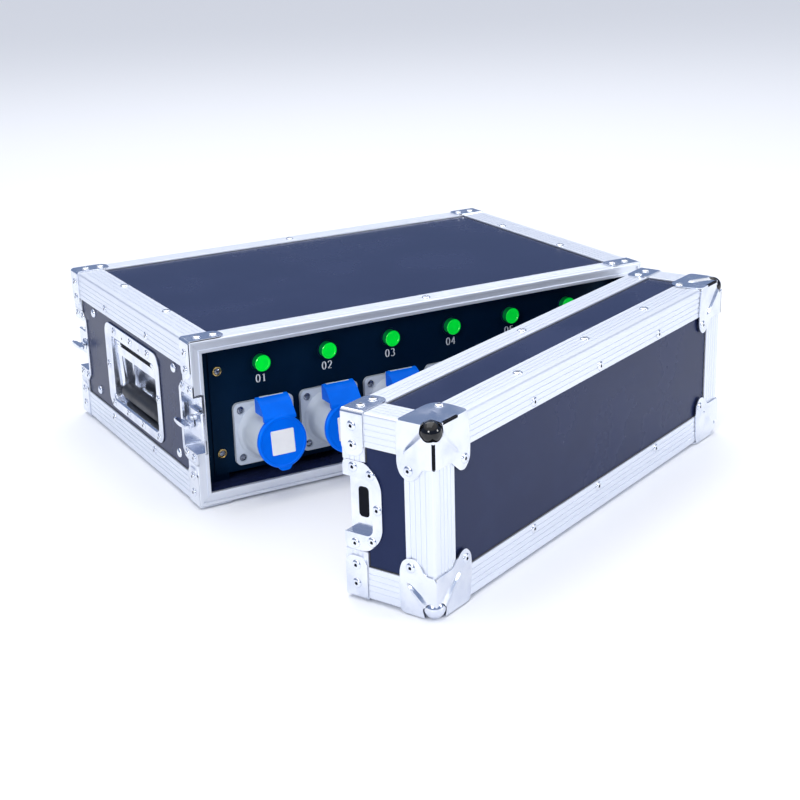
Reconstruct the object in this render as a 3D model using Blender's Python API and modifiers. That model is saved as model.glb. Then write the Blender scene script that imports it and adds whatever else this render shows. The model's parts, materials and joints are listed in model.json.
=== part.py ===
"""Six-way power distribution box in a three-unit flight case, with its front lid stood in front.

Lengths are metres, +Z is up and +Y runs from the socket panel to the rear of the case. The
origin is on the floor, under the middle of the case and the lid together.
"""

import math
from collections import namedtuple

import bmesh
import bpy
from mathutils import Matrix, Vector
from mathutils.geometry import interpolate_bezier

# Case and lid
WIDTH = 0.540
DEPTH = 0.350
HEIGHT = 0.170
LID_DEPTH = 0.094
PLY = 0.009
SKIN = 0.0015
SHEET = 0.0012
GAP = 0.0003
SPARE = 0.005
SINK = 0.0005

# Aluminium extrusions
ANGLE_LEG = 0.030
ANGLE_SOFTEN = 0.002
RIM_FLANGE = 0.024
RIM_WEB = 0.003
RIM_GAP = 0.0005
GROOVE_OUTER = 0.0035
GROOVE_WIDTH = 0.006
GROOVE_DEPTH = 0.0015
TONGUE_WIDTH = 0.002
TONGUE_HEIGHT = 0.001
BRACE_LEG = 0.040
BRACE_SETBACK = 0.0005

# Ball corners and feet
BALL_RADIUS = 0.0095
BALL_PROUD = 0.003
CORNER_FACE = 0.050
CORNER_SIDE = 0.036
CORNER_CHAMFER = 0.018
FOOT_RADIUS = 0.010
FOOT_INSET = 0.055

# Where the lid stands
LID_TURN = math.radians(24.7)
LID_SIDE_SHIFT = 0.015
LID_FRONT_SHIFT = 0.0206

# Handles
HANDLE_FORWARD = 0.004
DISH_OPENING_WIDTH = 0.132
DISH_OPENING_HEIGHT = 0.076
DISH_DEPTH = 0.026
DISH_BORDER_SIDE = 0.014
DISH_BORDER_END = 0.011
DISH_RADIUS = 0.012
BAIL_RADIUS = 0.0032
BAIL_BEND = 0.008
BAIL_SIDE_ROOM = 0.006
BAIL_HINGE_DOWN = 0.009
BAIL_HINGE_IN = 0.009
GRIP_RADIUS = 0.009
GRIP_END_ROOM = 0.006
GRIP_FOOT_ROOM = 0.011
GRIP_IN = 0.0125

# Latches and their catches
LATCH_BORDER_SIDE = 0.012
LATCH_BORDER_END = 0.005
LATCH_CHAMFER = 0.008
POCKET_HEIGHT = 0.058
POCKET_REACH = 0.031
POCKET_DEPTH = 0.009
LATCH_PIVOT = 0.018
HOOK_HEIGHT = 0.028
HOOK_OUT = 0.007
HOOK_TRAVEL = 0.006
HOOK_SHEET = 0.002
HOOK_CLAW = 0.003
HOOK_BOSS = 0.018
HUB_RADIUS = 0.0065
HUB_DEPTH = 0.0042
PIN_RADIUS = 0.0023
WING_HALF = 0.016
WING_NECK = 0.006
WING_LIFT = 0.001
WING_OUT = 0.010
WING_SHEET = 0.002
CATCH_BORDER_END = 0.010
CATCH_BEVELS = ((0.016, 0.0), (0.004, 0.0112), (0.0, 0.0208))
CATCH_POCKET_HEIGHT = 0.052
CATCH_POCKET_REACH = 0.030
CATCH_POCKET_DEPTH = 0.010
CATCH_SLOT_START = 0.0085
CATCH_SLOT_END = 0.0195
CATCH_SLOT_HEIGHT = 0.028

# Rack panels
RACK_SIDE_ROOM = 0.0179
RACK_END_ROOM = 0.00795
RACK_SHEET = 0.002
FRONT_RECESS = 0.027
REAR_RECESS = 0.055
RAIL_FACE = 0.033
RAIL_DEPTH = 0.024
HOLE_ROOM = 0.001

# Outlets and lamps
WAYS = 6
OUTLET_SPACE = 0.0074
SOCKET_UP = 0.0585
LAMP_DOWN = 0.040
LAMP_RADIUS = 0.0085
LAMP_CHAMFER = 0.0012
LAMP_BEZEL = 0.010
BEZEL_THICK = 0.002
LAMP_THREAD = 0.0075
LAMP_PROUD = 0.009
LAMP_BACK = 0.016

# Connectors
FLANGE_THICK = 0.005
KNUCKLE_HALF = 0.0115
CHEEK_THICK = 0.0038
CHEEK_ROOM = 0.0012
HINGE_LIFT = 0.004
HINGE_PIN = 0.0016
EAR_RADIUS = 0.0036
HOOD_SHEET = 0.0022
HOOD_START = 0.002
LID_THICK = 0.0055
LID_LAP = 0.002
TAB_HALF = 0.005
TAB_LENGTH = 0.004

# Rear fittings
INLET_SIDE = 0.100
INLET_DROP = 0.008
BREAKER_SIDE = 0.090
BREAKER_WIDTH = 0.072
BREAKER_HEIGHT = 0.085
BREAKER_DEPTH = 0.056
NOSE_HEIGHT = 0.045
NOSE_PROUD = 0.003
TOGGLE_SLOT_SIDE = 0.005
TOGGLE_SLOT_HEIGHT = 0.026
TOGGLE_SLOT_DEPTH = 0.012
TOGGLE_RADIUS = 0.0045
TOGGLE_LEVER = 0.019
TOGGLE_THICK = 0.004
TOGGLE_LEAN = math.radians(25)

# Wiring
BLOCKS = 10
BLOCK_PITCH = 0.016
BLOCK_DEPTH = 0.044
BLOCK_HEIGHT = 0.040
BLOCK_SLOT = 0.0015
BLOCK_SLOT_DEPTH = 0.004
DIN_RAIL_WIDTH = 0.035
DIN_RAIL_HEIGHT = 0.0075
STRIP_Y = 0.005
BRANCH_RADIUS = 0.004
BRANCH_SPACING = 0.022
FEED_RADIUS = 0.005
CABLE_PULL = 0.35
CABLE_POINTS = 8

# Facets
ROUND_SIDES = 20
LID_SIDES = 24
LAMP_SIDES = 16
GRIP_SIDES = 14
SMALL_SIDES = 12
PIN_SIDES = 8
SMOOTH_BELOW = math.radians(35)

Connector = namedtuple("Connector", "flange corner collar taper bore core length core_length back depth")
OUTLET = Connector(0.067, 0.007, 0.0245, 0.0008, 0.0205, 0.0165, 0.040, 0.030, 0.022, 0.032)
INLET = Connector(0.078, 0.008, 0.0300, 0.0008, 0.0260, 0.0215, 0.042, 0.024, 0.027, 0.034)

# Places that follow from the sizes above, in the case's frame: its middle, on the floor
FRONT = -DEPTH / 2
REAR = DEPTH / 2
BOTTOM = BALL_PROUD
TOP = BOTTOM + HEIGHT
MIDDLE = BOTTOM + HEIGHT / 2
INSET = SKIN + GAP
RIM_FACE = INSET + PLY + GAP + SKIN
BOARD_INNER = INSET + PLY
LID_BACK = FRONT - RIM_GAP
LID_FACE = LID_BACK - LID_DEPTH
PANEL_Y = FRONT + FRONT_RECESS
REAR_PANEL_Y = REAR - REAR_RECESS

# Sizes that follow from those above
DISH_WIDTH = DISH_OPENING_WIDTH + 2 * DISH_BORDER_SIDE
DISH_HEIGHT = DISH_OPENING_HEIGHT + 2 * DISH_BORDER_END
LATCH_HEIGHT = POCKET_HEIGHT + 2 * LATCH_BORDER_SIDE
LATCH_REACH = POCKET_REACH + LATCH_BORDER_END
CATCH_REACH = CATCH_POCKET_REACH + CATCH_BORDER_END
RACK_WIDTH = WIDTH - 2 * (BOARD_INNER + RACK_SIDE_ROOM)
RACK_HEIGHT = HEIGHT - 2 * (BOARD_INNER + RACK_END_ROOM)
PITCH = OUTLET.flange + OUTLET_SPACE
LAMP_UP = HEIGHT - LAMP_DOWN


def lid_pole():
    """The upright line about which the lid turns from its place on the case to where it stands."""
    shut = Vector((WIDTH / 2, LID_BACK))
    placed = Vector((WIDTH / 2 - LID_SIDE_SHIFT, FRONT - LID_FRONT_SHIFT))
    step = placed - shut
    sideways = Vector((-step.y, step.x))
    return (shut + placed) / 2 + sideways / (2 * math.tan(LID_TURN / 2))


POLE = lid_pole()


def stood(x, y):
    """Where a point of the shut lid is once the lid stands in front of the case."""
    return POLE + Matrix.Rotation(LID_TURN, 2) @ (Vector((x, y)) - POLE)


CASE_X = round((WIDTH / 2 + WING_OUT - stood(WIDTH / 2, LID_FACE).x) / 2, 3)
CASE_Y = round(-(REAR + stood(-WIDTH / 2, LID_FACE).y) / 2, 3)

MATERIALS = {
    "aluminium": ((0.80, 0.82, 0.87), 0.35, 1.0),
    "laminate": ((0.055, 0.065, 0.12), 0.45, 0.0),
    "steel": ((0.78, 0.79, 0.82), 0.22, 1.0),
    "panel_black": ((0.010, 0.014, 0.022), 0.45, 0.3),
    "lamp_green": ((0.0, 0.62, 0.13), 0.2, 0.0),
    "socket_blue": ((0.0, 0.20, 0.87), 0.35, 0.0),
    "socket_grey": ((0.50, 0.51, 0.58), 0.45, 0.0),
    "breaker_grey": ((0.62, 0.63, 0.64), 0.5, 0.0),
    "wiring_black": ((0.03, 0.03, 0.035), 0.5, 0.0),
}


def material(name):
    """The named finish, which is made once."""
    made = bpy.data.materials.get(name)
    if made:
        return made
    colour, roughness, metallic = MATERIALS[name]
    made = bpy.data.materials.new(name)
    made.use_nodes = True
    shader = made.node_tree.nodes["Principled BSDF"]
    shader.inputs["Base Color"].default_value = (*colour, 1.0)
    shader.inputs["Roughness"].default_value = roughness
    shader.inputs["Metallic"].default_value = metallic
    return made


# Flat outlines, in metres


def rectangle(width, height):
    """A rectangle about the origin."""
    x, y = width / 2, height / 2
    return [(-x, -y), (x, -y), (x, y), (-x, y)]


def inset_rectangle(inset):
    """The case's end outline, drawn in by inset."""
    return rectangle(WIDTH - 2 * inset, HEIGHT - 2 * inset)


def rounded(width, height, radius, steps=3):
    """A rectangle with round corners."""
    loop = []
    for corner in range(4):
        x = (width / 2 - radius) * (1 if corner in (0, 3) else -1)
        y = (height / 2 - radius) * (1 if corner in (0, 1) else -1)
        for step in range(steps + 1):
            angle = math.pi / 2 * (corner + step / steps)
            loop.append((x + radius * math.cos(angle), y + radius * math.sin(angle)))
    return loop


def circle(radius, sides, x=0.0, y=0.0):
    """A circle as a polygon."""
    turns = [2 * math.pi * side / sides for side in range(sides)]
    return [(x + radius * math.cos(turn), y + radius * math.sin(turn)) for turn in turns]


def angle_loop(x, y, leg, thickness, soften):
    """The section of an angle whose outer corner is at (x, y) and whose legs run towards zero."""
    side, up = math.copysign(1, x), math.copysign(1, y)
    corner = [
        (0, soften), (0, leg), (thickness, leg), (thickness, thickness),
        (leg, thickness), (leg, 0), (soften, 0),
    ]
    return [(x - side * inward, y - up * down) for inward, down in corner]


# Meshes


def facing(direction, point):
    """A frame at point: Z looks along direction, and Y points up the wall, or back on a level one."""
    normal = Vector(direction)
    up = Vector((0, 1, 0)) if abs(normal.z) > 0.5 else Vector((0, 0, 1))
    return Matrix.Translation(point) @ Matrix((up.cross(normal), up, normal)).transposed().to_4x4()


def across(first, second, point):
    """A frame at point with the given X and Y directions."""
    first, second = Vector(first), Vector(second)
    return Matrix.Translation(point) @ Matrix((first, second, first.cross(second))).transposed().to_4x4()


def closed_mesh(shape, frame=None):
    """Closes a working mesh, points its faces out and carries it into a frame."""
    bmesh.ops.remove_doubles(shape, verts=shape.verts, dist=1e-6)
    bmesh.ops.recalc_face_normals(shape, faces=shape.faces)
    if frame:
        bmesh.ops.transform(shape, matrix=frame, verts=shape.verts)
    mesh = bpy.data.meshes.new("shape")
    shape.to_mesh(mesh)
    shape.free()
    return mesh


def evaluated_mesh(guide):
    """The mesh that an object shows, after which the object is removed."""
    bpy.context.scene.collection.objects.link(guide)
    bpy.context.view_layer.update()
    shown = guide.evaluated_get(bpy.context.evaluated_depsgraph_get())
    shape = bmesh.new()
    made = bpy.data.meshes.new_from_object(shown)
    shape.from_mesh(made)
    bpy.data.meshes.remove(made)
    bpy.data.objects.remove(guide)
    return shape


def box(low, high, frame=None):
    """A box between two corners."""
    low, high = Vector(low), Vector(high)
    size = Matrix.Diagonal((*(high - low), 1))
    shape = bmesh.new()
    bmesh.ops.create_cube(shape, size=1, matrix=Matrix.Translation((low + high) / 2) @ size)
    return closed_mesh(shape, frame)


def rod(start, end, radius, sides, frame=None):
    """A round bar between two points."""
    start, end = Vector(start), Vector(end)
    along = end - start
    turn = along.to_track_quat("Z", "Y").to_matrix().to_4x4()
    shape = bmesh.new()
    bmesh.ops.create_cone(
        shape, cap_ends=True, segments=sides, radius1=radius, radius2=radius, depth=along.length,
        matrix=Matrix.Translation((start + end) / 2) @ turn,
    )
    return closed_mesh(shape, frame)


def plate(loops, low, high, frame=None):
    """A flat outline, with any further loops as holes, from low to high along the frame's Z."""
    curve = bpy.data.curves.new("outline", "CURVE")
    curve.dimensions = "2D"
    curve.fill_mode = "BOTH"
    curve.extrude = (high - low) / 2
    for loop in loops:
        spline = curve.splines.new("POLY")
        spline.points.add(len(loop) - 1)
        for point, (x, y) in zip(spline.points, loop):
            point.co = (x, y, 0, 1)
        spline.use_cyclic_u = True
    shape = evaluated_mesh(bpy.data.objects.new("outline", curve))
    bmesh.ops.translate(shape, verts=shape.verts, vec=(0, 0, (low + high) / 2))
    return closed_mesh(shape, frame)


def turned(profile, steps, frame=None):
    """A turned shape: a profile of radius and height, from the axis at its top to the axis below."""
    mesh = bpy.data.meshes.new("profile")
    mesh.from_pydata([(radius, 0, height) for radius, height in profile],
                     [(index, index + 1) for index in range(len(profile) - 1)], [])
    guide = bpy.data.objects.new("profile", mesh)
    screw = guide.modifiers.new("turn", "SCREW")
    screw.steps = steps
    screw.render_steps = steps
    screw.use_merge_vertices = True
    screw.merge_threshold = 0.00001
    return closed_mesh(evaluated_mesh(guide), frame)


def tube(points, radius, frame=None):
    """A round tube through the given points, with filled ends."""
    curve = bpy.data.curves.new("route", "CURVE")
    curve.dimensions = "3D"
    curve.bevel_depth = radius
    curve.bevel_resolution = 2
    curve.use_fill_caps = True
    spline = curve.splines.new("POLY")
    spline.points.add(len(points) - 1)
    for point, place in zip(spline.points, points):
        point.co = (*place, 1)
    return closed_mesh(evaluated_mesh(bpy.data.objects.new("route", curve)), frame)


def cable(start, leave, end, arrive, radius):
    """A cable that leaves one piece straight, bends over and arrives straight at the other."""
    straight = 2 * radius
    first, last = start + leave * straight, end - arrive * straight
    pull = CABLE_PULL * (last - first).length
    bend = interpolate_bezier(first, first + leave * pull, last - arrive * pull, last, CABLE_POINTS)
    return tube([start, *bend, end], radius)


# Objects


def clear_scene():
    """Removes what the file opens with."""
    for thing in list(bpy.data.objects):
        bpy.data.objects.remove(thing)


def collection(name):
    """A new collection in the scene."""
    made = bpy.data.collections.new(name)
    bpy.context.scene.collection.children.link(made)
    return made


def empty(name, location, turn=0.0):
    """An empty that carries pieces."""
    made = bpy.data.objects.new(name, None)
    made.location = location
    made.rotation_euler = (0, 0, turn)
    PARTS.objects.link(made)
    return made


def piece(name, mesh, finish, parent, origin=(0, 0, 0)):
    """A named sub-part, whose mesh is in its parent's frame and whose origin is set apart."""
    mesh.name = name
    if Vector(origin).length:
        mesh.transform(Matrix.Translation(-Vector(origin)))
    made = bpy.data.objects.new(name, mesh)
    made.parent = parent
    made.location = Vector(origin) + OFFSETS.get(parent.name, Vector())
    if not mesh.materials:
        mesh.materials.append(material(finish))
    mesh.shade_smooth()
    mesh.set_sharp_from_angle(angle=SMOOTH_BELOW)
    PARTS.objects.link(made)
    return made


def combine(target, mesh, operation):
    """Joins a working shape to a sub-part, or cuts it away, with a Boolean modifier."""
    tool = bpy.data.objects.new(target.name + "_" + operation.lower(), mesh)
    tool.parent = target.parent
    tool.location = OFFSETS.get(target.parent.name, Vector())
    tool.hide_render = True
    tool.display_type = "WIRE"
    CUTTERS.objects.link(tool)
    modifier = target.modifiers.new(operation.lower(), "BOOLEAN")
    modifier.operation = operation
    modifier.solver = "EXACT"
    modifier.object = tool


def cut(target, mesh):
    """Cuts a shape out of a sub-part."""
    combine(target, mesh, "DIFFERENCE")


def join(target, mesh):
    """Joins a shape to a sub-part."""
    combine(target, mesh, "UNION")


clear_scene()
PARTS = collection("power_distribution_box")
CUTTERS = collection("cutters")
OFFSETS = {"lid_frame": Vector((-POLE.x, -POLE.y, 0))}


# Case


def boards(case):
    """The four laminated boards, cut for the handles and the latches, with feet under the lowest."""
    side, back = WIDTH / 2 - INSET, REAR - RIM_WEB - GAP
    high, low = TOP - INSET, BOTTOM + INSET
    piece("top_panel", box((-side, -back, high - PLY), (side, back, high)), "laminate", case)
    bottom = piece("bottom_panel", box((-side, -back, low), (side, back, low + PLY)), "laminate", case)
    for x in (FOOT_INSET - WIDTH / 2, WIDTH / 2 - FOOT_INSET):
        for y in (FRONT + FOOT_INSET, REAR - FOOT_INSET):
            join(bottom, rod((x, y, 0), (x, y, low + SINK), FOOT_RADIUS, SMALL_SIDES))
    for name, sign in (("left_side_panel", -1), ("right_side_panel", 1)):
        inner, outer = sorted((sign * side, sign * (side - PLY)))
        board = piece(
            name,
            box((inner, -back, low + PLY + GAP), (outer, back, high - PLY - GAP)),
            "laminate", case,
        )
        around = SHEET + GAP
        wide, tall = DISH_OPENING_WIDTH / 2 + around, DISH_OPENING_HEIGHT / 2 + around
        frame = facing((sign, 0, 0), (sign * WIDTH / 2, -HANDLE_FORWARD, MIDDLE))
        cut(board, box((-wide, -tall, -BOARD_INNER - SPARE), (wide, tall, SPARE), frame))
        for end in (-1, 1):
            tall, reach = POCKET_HEIGHT / 2 + around, POCKET_REACH + around
            frame = latch_frame(sign, end)
            cut(board, box((-SPARE, -tall, -BOARD_INNER - SPARE), (reach, tall, SPARE), frame))


def edge_angles(case):
    """The four angles along the case's long edges."""
    long = REAR - RIM_FLANGE - GAP
    frame = facing((0, -1, 0), (0, 0, MIDDLE))
    for height, z in (("top", HEIGHT / 2), ("bottom", -HEIGHT / 2)):
        for hand, x in (("left", -WIDTH / 2), ("right", WIDTH / 2)):
            section = angle_loop(x, z, ANGLE_LEG, SKIN, ANGLE_SOFTEN)
            piece(f"{height}_{hand}_edge_angle", plate([section], -long, long, frame), "aluminium", case)


def rim(name, outward, y, parent, tongue):
    """An open end's channel over the boards' edges, with its corner braces and its latch gaps."""
    frame = facing((0, outward, 0), (0, y, MIDDLE))
    ring = [inset_rectangle(0), inset_rectangle(RIM_FACE)]
    made = piece(name, plate(ring, -RIM_FLANGE, 0, frame), "aluminium", parent)
    channel = [inset_rectangle(SKIN), inset_rectangle(RIM_FACE - SKIN)]
    cut(made, plate(channel, -RIM_FLANGE - SPARE, -RIM_WEB, frame))
    if tongue:
        outer = GROOVE_OUTER + (GROOVE_WIDTH - TONGUE_WIDTH) / 2
        ring = [inset_rectangle(outer), inset_rectangle(outer + TONGUE_WIDTH)]
        join(made, plate(ring, -SINK, TONGUE_HEIGHT, frame))
    else:
        ring = [inset_rectangle(GROOVE_OUTER), inset_rectangle(GROOVE_OUTER + GROOVE_WIDTH)]
        cut(made, plate(ring, -GROOVE_DEPTH, SPARE, frame))
    for x in (-WIDTH / 2, WIDTH / 2):
        for z in (-HEIGHT / 2, HEIGHT / 2):
            outer = (math.copysign(abs(x) + SHEET, x), math.copysign(abs(z) + SHEET, z))
            section = angle_loop(*outer, BRACE_LEG, SHEET + SINK, ANGLE_SOFTEN)
            join(made, plate([section], BRACE_SETBACK - RIM_FLANGE, -BRACE_SETBACK, frame))
    deep = (CATCH_POCKET_DEPTH if tongue else POCKET_DEPTH) + SHEET + GAP
    pocket = POCKET_HEIGHT / 2 + SHEET + GAP
    for sign in (-1, 1):
        for depth, half in ((INSET, LATCH_HEIGHT / 2 + GAP), (deep, pocket)):
            near, far = sorted((sign * (WIDTH / 2 - depth), sign * (WIDTH / 2 + SPARE)))
            cut(made, box((near, -half, -RIM_FLANGE - SPARE), (far, half, SPARE), frame))


# Handles


def handle(hand, sign, case):
    """A recessed dish and the sprung bail that swings out of it."""
    frame = facing((sign, 0, 0), (sign * WIDTH / 2, -HANDLE_FORWARD, MIDDLE))
    flange = plate([rounded(DISH_WIDTH, DISH_HEIGHT, DISH_RADIUS)], -SKIN, 0, frame)
    dish = piece(f"{hand}_handle_dish", flange, "aluminium", case)
    wide, tall = DISH_OPENING_WIDTH / 2, DISH_OPENING_HEIGHT / 2
    deep = DISH_DEPTH + SHEET
    join(dish, box((-wide - SHEET, -tall - SHEET, -deep), (wide + SHEET, tall + SHEET, -SINK), frame))
    cut(dish, box((-wide, -tall, -DISH_DEPTH), (wide, tall, SPARE), frame))

    hinge = Vector((0, tall - BAIL_HINGE_DOWN, -BAIL_HINGE_IN))
    grip = Vector((0, GRIP_FOOT_ROOM - tall, -GRIP_IN))
    corner = grip + (hinge - grip).normalized() * BAIL_BEND
    half_width = wide - BAIL_SIDE_ROOM
    route = []
    for side in (-1, 1):
        arm = Vector((side * half_width, 0, 0))
        foot = grip + Vector((side * (half_width - BAIL_BEND), 0, 0))
        bend = interpolate_bezier(corner + arm, grip + arm, grip + arm, foot, 4)
        half = [hinge + arm, *bend]
        route += half if side < 0 else half[::-1]
    bail = piece(f"{hand}_handle", tube(route, BAIL_RADIUS, frame), "steel", case, frame @ hinge)
    reach = Vector((wide - GAP, 0, 0))
    join(bail, rod(hinge - reach, hinge + reach, BAIL_RADIUS + SINK, PIN_SIDES, frame))
    reach = Vector((half_width - GRIP_END_ROOM, 0, 0))
    join(bail, rod(grip - reach, grip + reach, GRIP_RADIUS, GRIP_SIDES, frame))


# Latches


def latch_frame(sign, end, y=None):
    """A frame on a side wall at the middle of an open end: X runs in from the rim, Z points out."""
    inward, outward = Vector((0, -end, 0)), Vector((sign, 0, 0))
    point = (sign * WIDTH / 2, end * DEPTH / 2 if y is None else y, MIDDLE)
    return across(inward, outward.cross(inward), point)


def section_frame(frame):
    """The same place with the section plane first: X along the latch, Y out of the wall."""
    return frame @ across((1, 0, 0), (0, 0, 1), (0, 0, 0))


def latch(name, sign, end, case):
    """A recessed butterfly latch: its dish, its turning wing and the hook that the wing draws in."""
    frame = latch_frame(sign, end)
    half, inner = LATCH_HEIGHT / 2, LATCH_REACH - LATCH_CHAMFER
    flange = [
        (0, -half), (inner, -half), (LATCH_REACH, LATCH_CHAMFER - half),
        (LATCH_REACH, half - LATCH_CHAMFER), (inner, half), (0, half),
    ]
    dish = piece(name + "_latch_dish", plate([flange], -SKIN, 0, frame), "steel", case)
    tall = POCKET_HEIGHT / 2
    outside = (POCKET_REACH + SHEET, tall + SHEET, -SINK)
    join(dish, box((0, -tall - SHEET, -POCKET_DEPTH - SHEET), outside, frame))
    cut(dish, box((-SPARE, -tall, -POCKET_DEPTH), (POCKET_REACH, tall, SPARE), frame))

    section = section_frame(frame)
    top, foot = -HUB_DEPTH - GAP, GAP - POCKET_DEPTH
    under = top - HOOK_SHEET
    back = POCKET_REACH - HOOK_TRAVEL - GAP
    claw = HOOK_CLAW - HOOK_OUT
    outline = [
        (-HOOK_OUT, top), (back, top), (back, foot), (back - HOOK_BOSS, foot),
        (back - HOOK_BOSS, under), (claw, under), (claw, foot), (-HOOK_OUT, foot),
    ]
    bar = plate([outline], -HOOK_HEIGHT / 2, HOOK_HEIGHT / 2, section)
    hook = piece(name + "_latch_hook", bar, "steel", case)
    room = PIN_RADIUS + SINK
    slot = (LATCH_PIVOT - HOOK_TRAVEL - room, -room, -POCKET_DEPTH - SPARE)
    cut(hook, box(slot, (LATCH_PIVOT + room, room, SPARE), frame))

    pivot = Vector((LATCH_PIVOT, 0, 0))
    edge, neck, root = WING_HALF, WING_NECK, HUB_DEPTH / 2
    blade = [
        (-neck, -root), (neck, -root), (neck, WING_LIFT), (edge, 3 * WING_LIFT),
        (edge, WING_OUT - WING_LIFT), (neck, WING_OUT), (-neck, WING_OUT),
        (-edge, WING_OUT - WING_LIFT), (-edge, 3 * WING_LIFT), (-neck, WING_LIFT),
    ]
    blade = [(LATCH_PIVOT + x, y) for x, y in blade]
    wing = piece(
        name + "_latch_wing", plate([blade], -WING_SHEET / 2, WING_SHEET / 2, section),
        "steel", case, frame @ pivot,
    )
    up = Vector((0, 0, 1))
    join(wing, rod(pivot - up * HUB_DEPTH, pivot - up * SINK, HUB_RADIUS, SMALL_SIDES, frame))
    join(wing, rod(pivot + up * foot, pivot - up * (HUB_DEPTH - SINK), PIN_RADIUS, PIN_SIDES, frame))


def catch(name, sign, lid):
    """The dish on the lid's side that a latch's hook reaches into."""
    frame = latch_frame(sign, 1, LID_BACK)
    half = LATCH_HEIGHT / 2
    lower = [(CATCH_REACH - short, rise - half) for short, rise in CATCH_BEVELS]
    upper = [(x, -y) for x, y in reversed(lower)]
    flange = [(0, -half), *lower, *upper, (0, half)]
    dish = piece(name, plate([flange], -SKIN, 0, frame), "steel", lid)
    tall = CATCH_POCKET_HEIGHT / 2
    outside = (CATCH_POCKET_REACH + SHEET, tall + SHEET, -SINK)
    join(dish, box((0, -tall - SHEET, -CATCH_POCKET_DEPTH - SHEET), outside, frame))
    cut(dish, box((-SPARE, -tall, -CATCH_POCKET_DEPTH), (CATCH_POCKET_REACH, tall, SPARE), frame))
    tall = CATCH_SLOT_HEIGHT / 2
    low = (CATCH_SLOT_START, -tall, -CATCH_POCKET_DEPTH - SPARE)
    cut(dish, box(low, (CATCH_SLOT_END, tall, SINK - CATCH_POCKET_DEPTH), frame))


# Panels and their fittings


def way_x(way):
    """The sideways place of an outlet and its lamp."""
    return (way - (WAYS - 1) / 2) * PITCH


def rack_panel(name, outward, y, holes, case):
    """A three-unit panel with its holes, and the two rack rails that it is screwed to."""
    frame = facing((0, outward, 0), (0, y, MIDDLE))
    sheet = plate([rectangle(RACK_WIDTH, RACK_HEIGHT), *holes], -RACK_SHEET, 0, frame)
    made = piece(name, sheet, "panel_black", case)
    wall = WIDTH / 2 - BOARD_INNER - GAP
    tall = HEIGHT / 2 - BOARD_INNER - GAP
    start = SINK - RACK_SHEET
    for sign in (-1, 1):
        corner, leg = sign * wall, sign * (wall - SKIN)
        face = sign * (wall - RAIL_FACE)
        section = [
            (corner, start), (face, start), (face, start - SKIN), (leg, start - SKIN),
            (leg, start - RAIL_DEPTH), (corner, start - RAIL_DEPTH),
        ]
        join(made, plate([section], -tall, tall, frame @ across((1, 0, 0), (0, 0, 1), (0, 0, 0))))


def connector_hinge(kind):
    """Where a connector's lid turns, up its flange and out from its panel."""
    return Vector((0, kind.flange / 2 + GAP, FLANGE_THICK + HINGE_LIFT))


def connector_body(name, kind, frame, case):
    """A panel connector: its flange, collar, core and rear housing, with the lid's knuckle and pin."""
    floor = FLANGE_THICK / 2
    profile = [
        (0, kind.core_length), (kind.core, kind.core_length), (kind.core, floor), (kind.bore, floor),
        (kind.bore, kind.length), (kind.collar, kind.length), (kind.collar + kind.taper, floor),
        (kind.back, floor), (kind.back, -kind.depth), (0, -kind.depth),
    ]
    made = piece(name, turned(profile, ROUND_SIDES, frame), "socket_grey", case)
    square = rounded(kind.flange, kind.flange, kind.corner, 2)
    join(made, plate([square, circle(kind.bore + SINK, ROUND_SIDES)], GAP, FLANGE_THICK, frame))
    hinge = connector_hinge(kind)
    half = HINGE_PIN + SINK
    low = (-KNUCKLE_HALF, hinge.y - 2 * half, FLANGE_THICK - SINK)
    join(made, box(low, (KNUCKLE_HALF, hinge.y + half, hinge.z + half), frame))
    reach = Vector((KNUCKLE_HALF + CHEEK_THICK, 0, 0))
    join(made, rod(hinge - reach, hinge + reach, HINGE_PIN, PIN_SIDES, frame))


def connector_lid(name, kind, finish, frame, case):
    """A connector's hinged lid: a disc, a pull tab and a hood that reaches back to the knuckle."""
    hinge = connector_hinge(kind)
    inner = KNUCKLE_HALF + SINK
    outer = KNUCKLE_HALF + CHEEK_THICK + SINK
    back = kind.length + GAP
    front = back + LID_THICK
    disc = kind.collar + LID_LAP
    low = math.sqrt((kind.collar + kind.taper) ** 2 - inner ** 2) + CHEEK_ROOM
    turns = [math.radians(degrees) for degrees in range(-90, 90, 30)]
    ear = [(hinge.y + EAR_RADIUS * math.cos(turn), hinge.z + EAR_RADIUS * math.sin(turn)) for turn in turns]
    crown = (disc - SINK, front)
    outline = [
        (low, FLANGE_THICK + SINK), *ear, crown,
        (low - SPARE, front - SINK), (low - SPARE, back), (low, back - SINK),
    ]
    section = frame @ across((0, 1, 0), (0, 0, 1), (0, 0, 0))
    made = piece(name, plate([outline], -outer, outer, section), finish, case, frame @ hinge)

    fall = (Vector(crown) - Vector(ear[-1])).normalized()
    under = Vector(ear[-1]) + HOOD_SHEET * Vector((-abs(fall.y), -abs(fall.x)))
    start = hinge.z + EAR_RADIUS + HOOD_START
    stop = back + SINK

    def below(height):
        return under.x + fall.x / fall.y * (height - under.y)

    hollow = [
        (hinge.y + SPARE, -SPARE), (hinge.y + SPARE, start), (below(start), start),
        (below(stop), stop), (low - 2 * SPARE, stop), (low - 2 * SPARE, -SPARE),
    ]
    cut(made, plate([hollow], -inner, inner, section))
    join(made, rod((0, 0, back), (0, 0, front), disc, LID_SIDES, frame))
    tab = (TAB_HALF, SINK - disc, front - SINK)
    join(made, box((-TAB_HALF, -disc - TAB_LENGTH, back + SINK), tab, frame))
    reach = Vector((outer + SPARE, 0, 0))
    cut(made, rod(hinge - reach, hinge + reach, HINGE_PIN + GAP, PIN_SIDES, frame))


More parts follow.
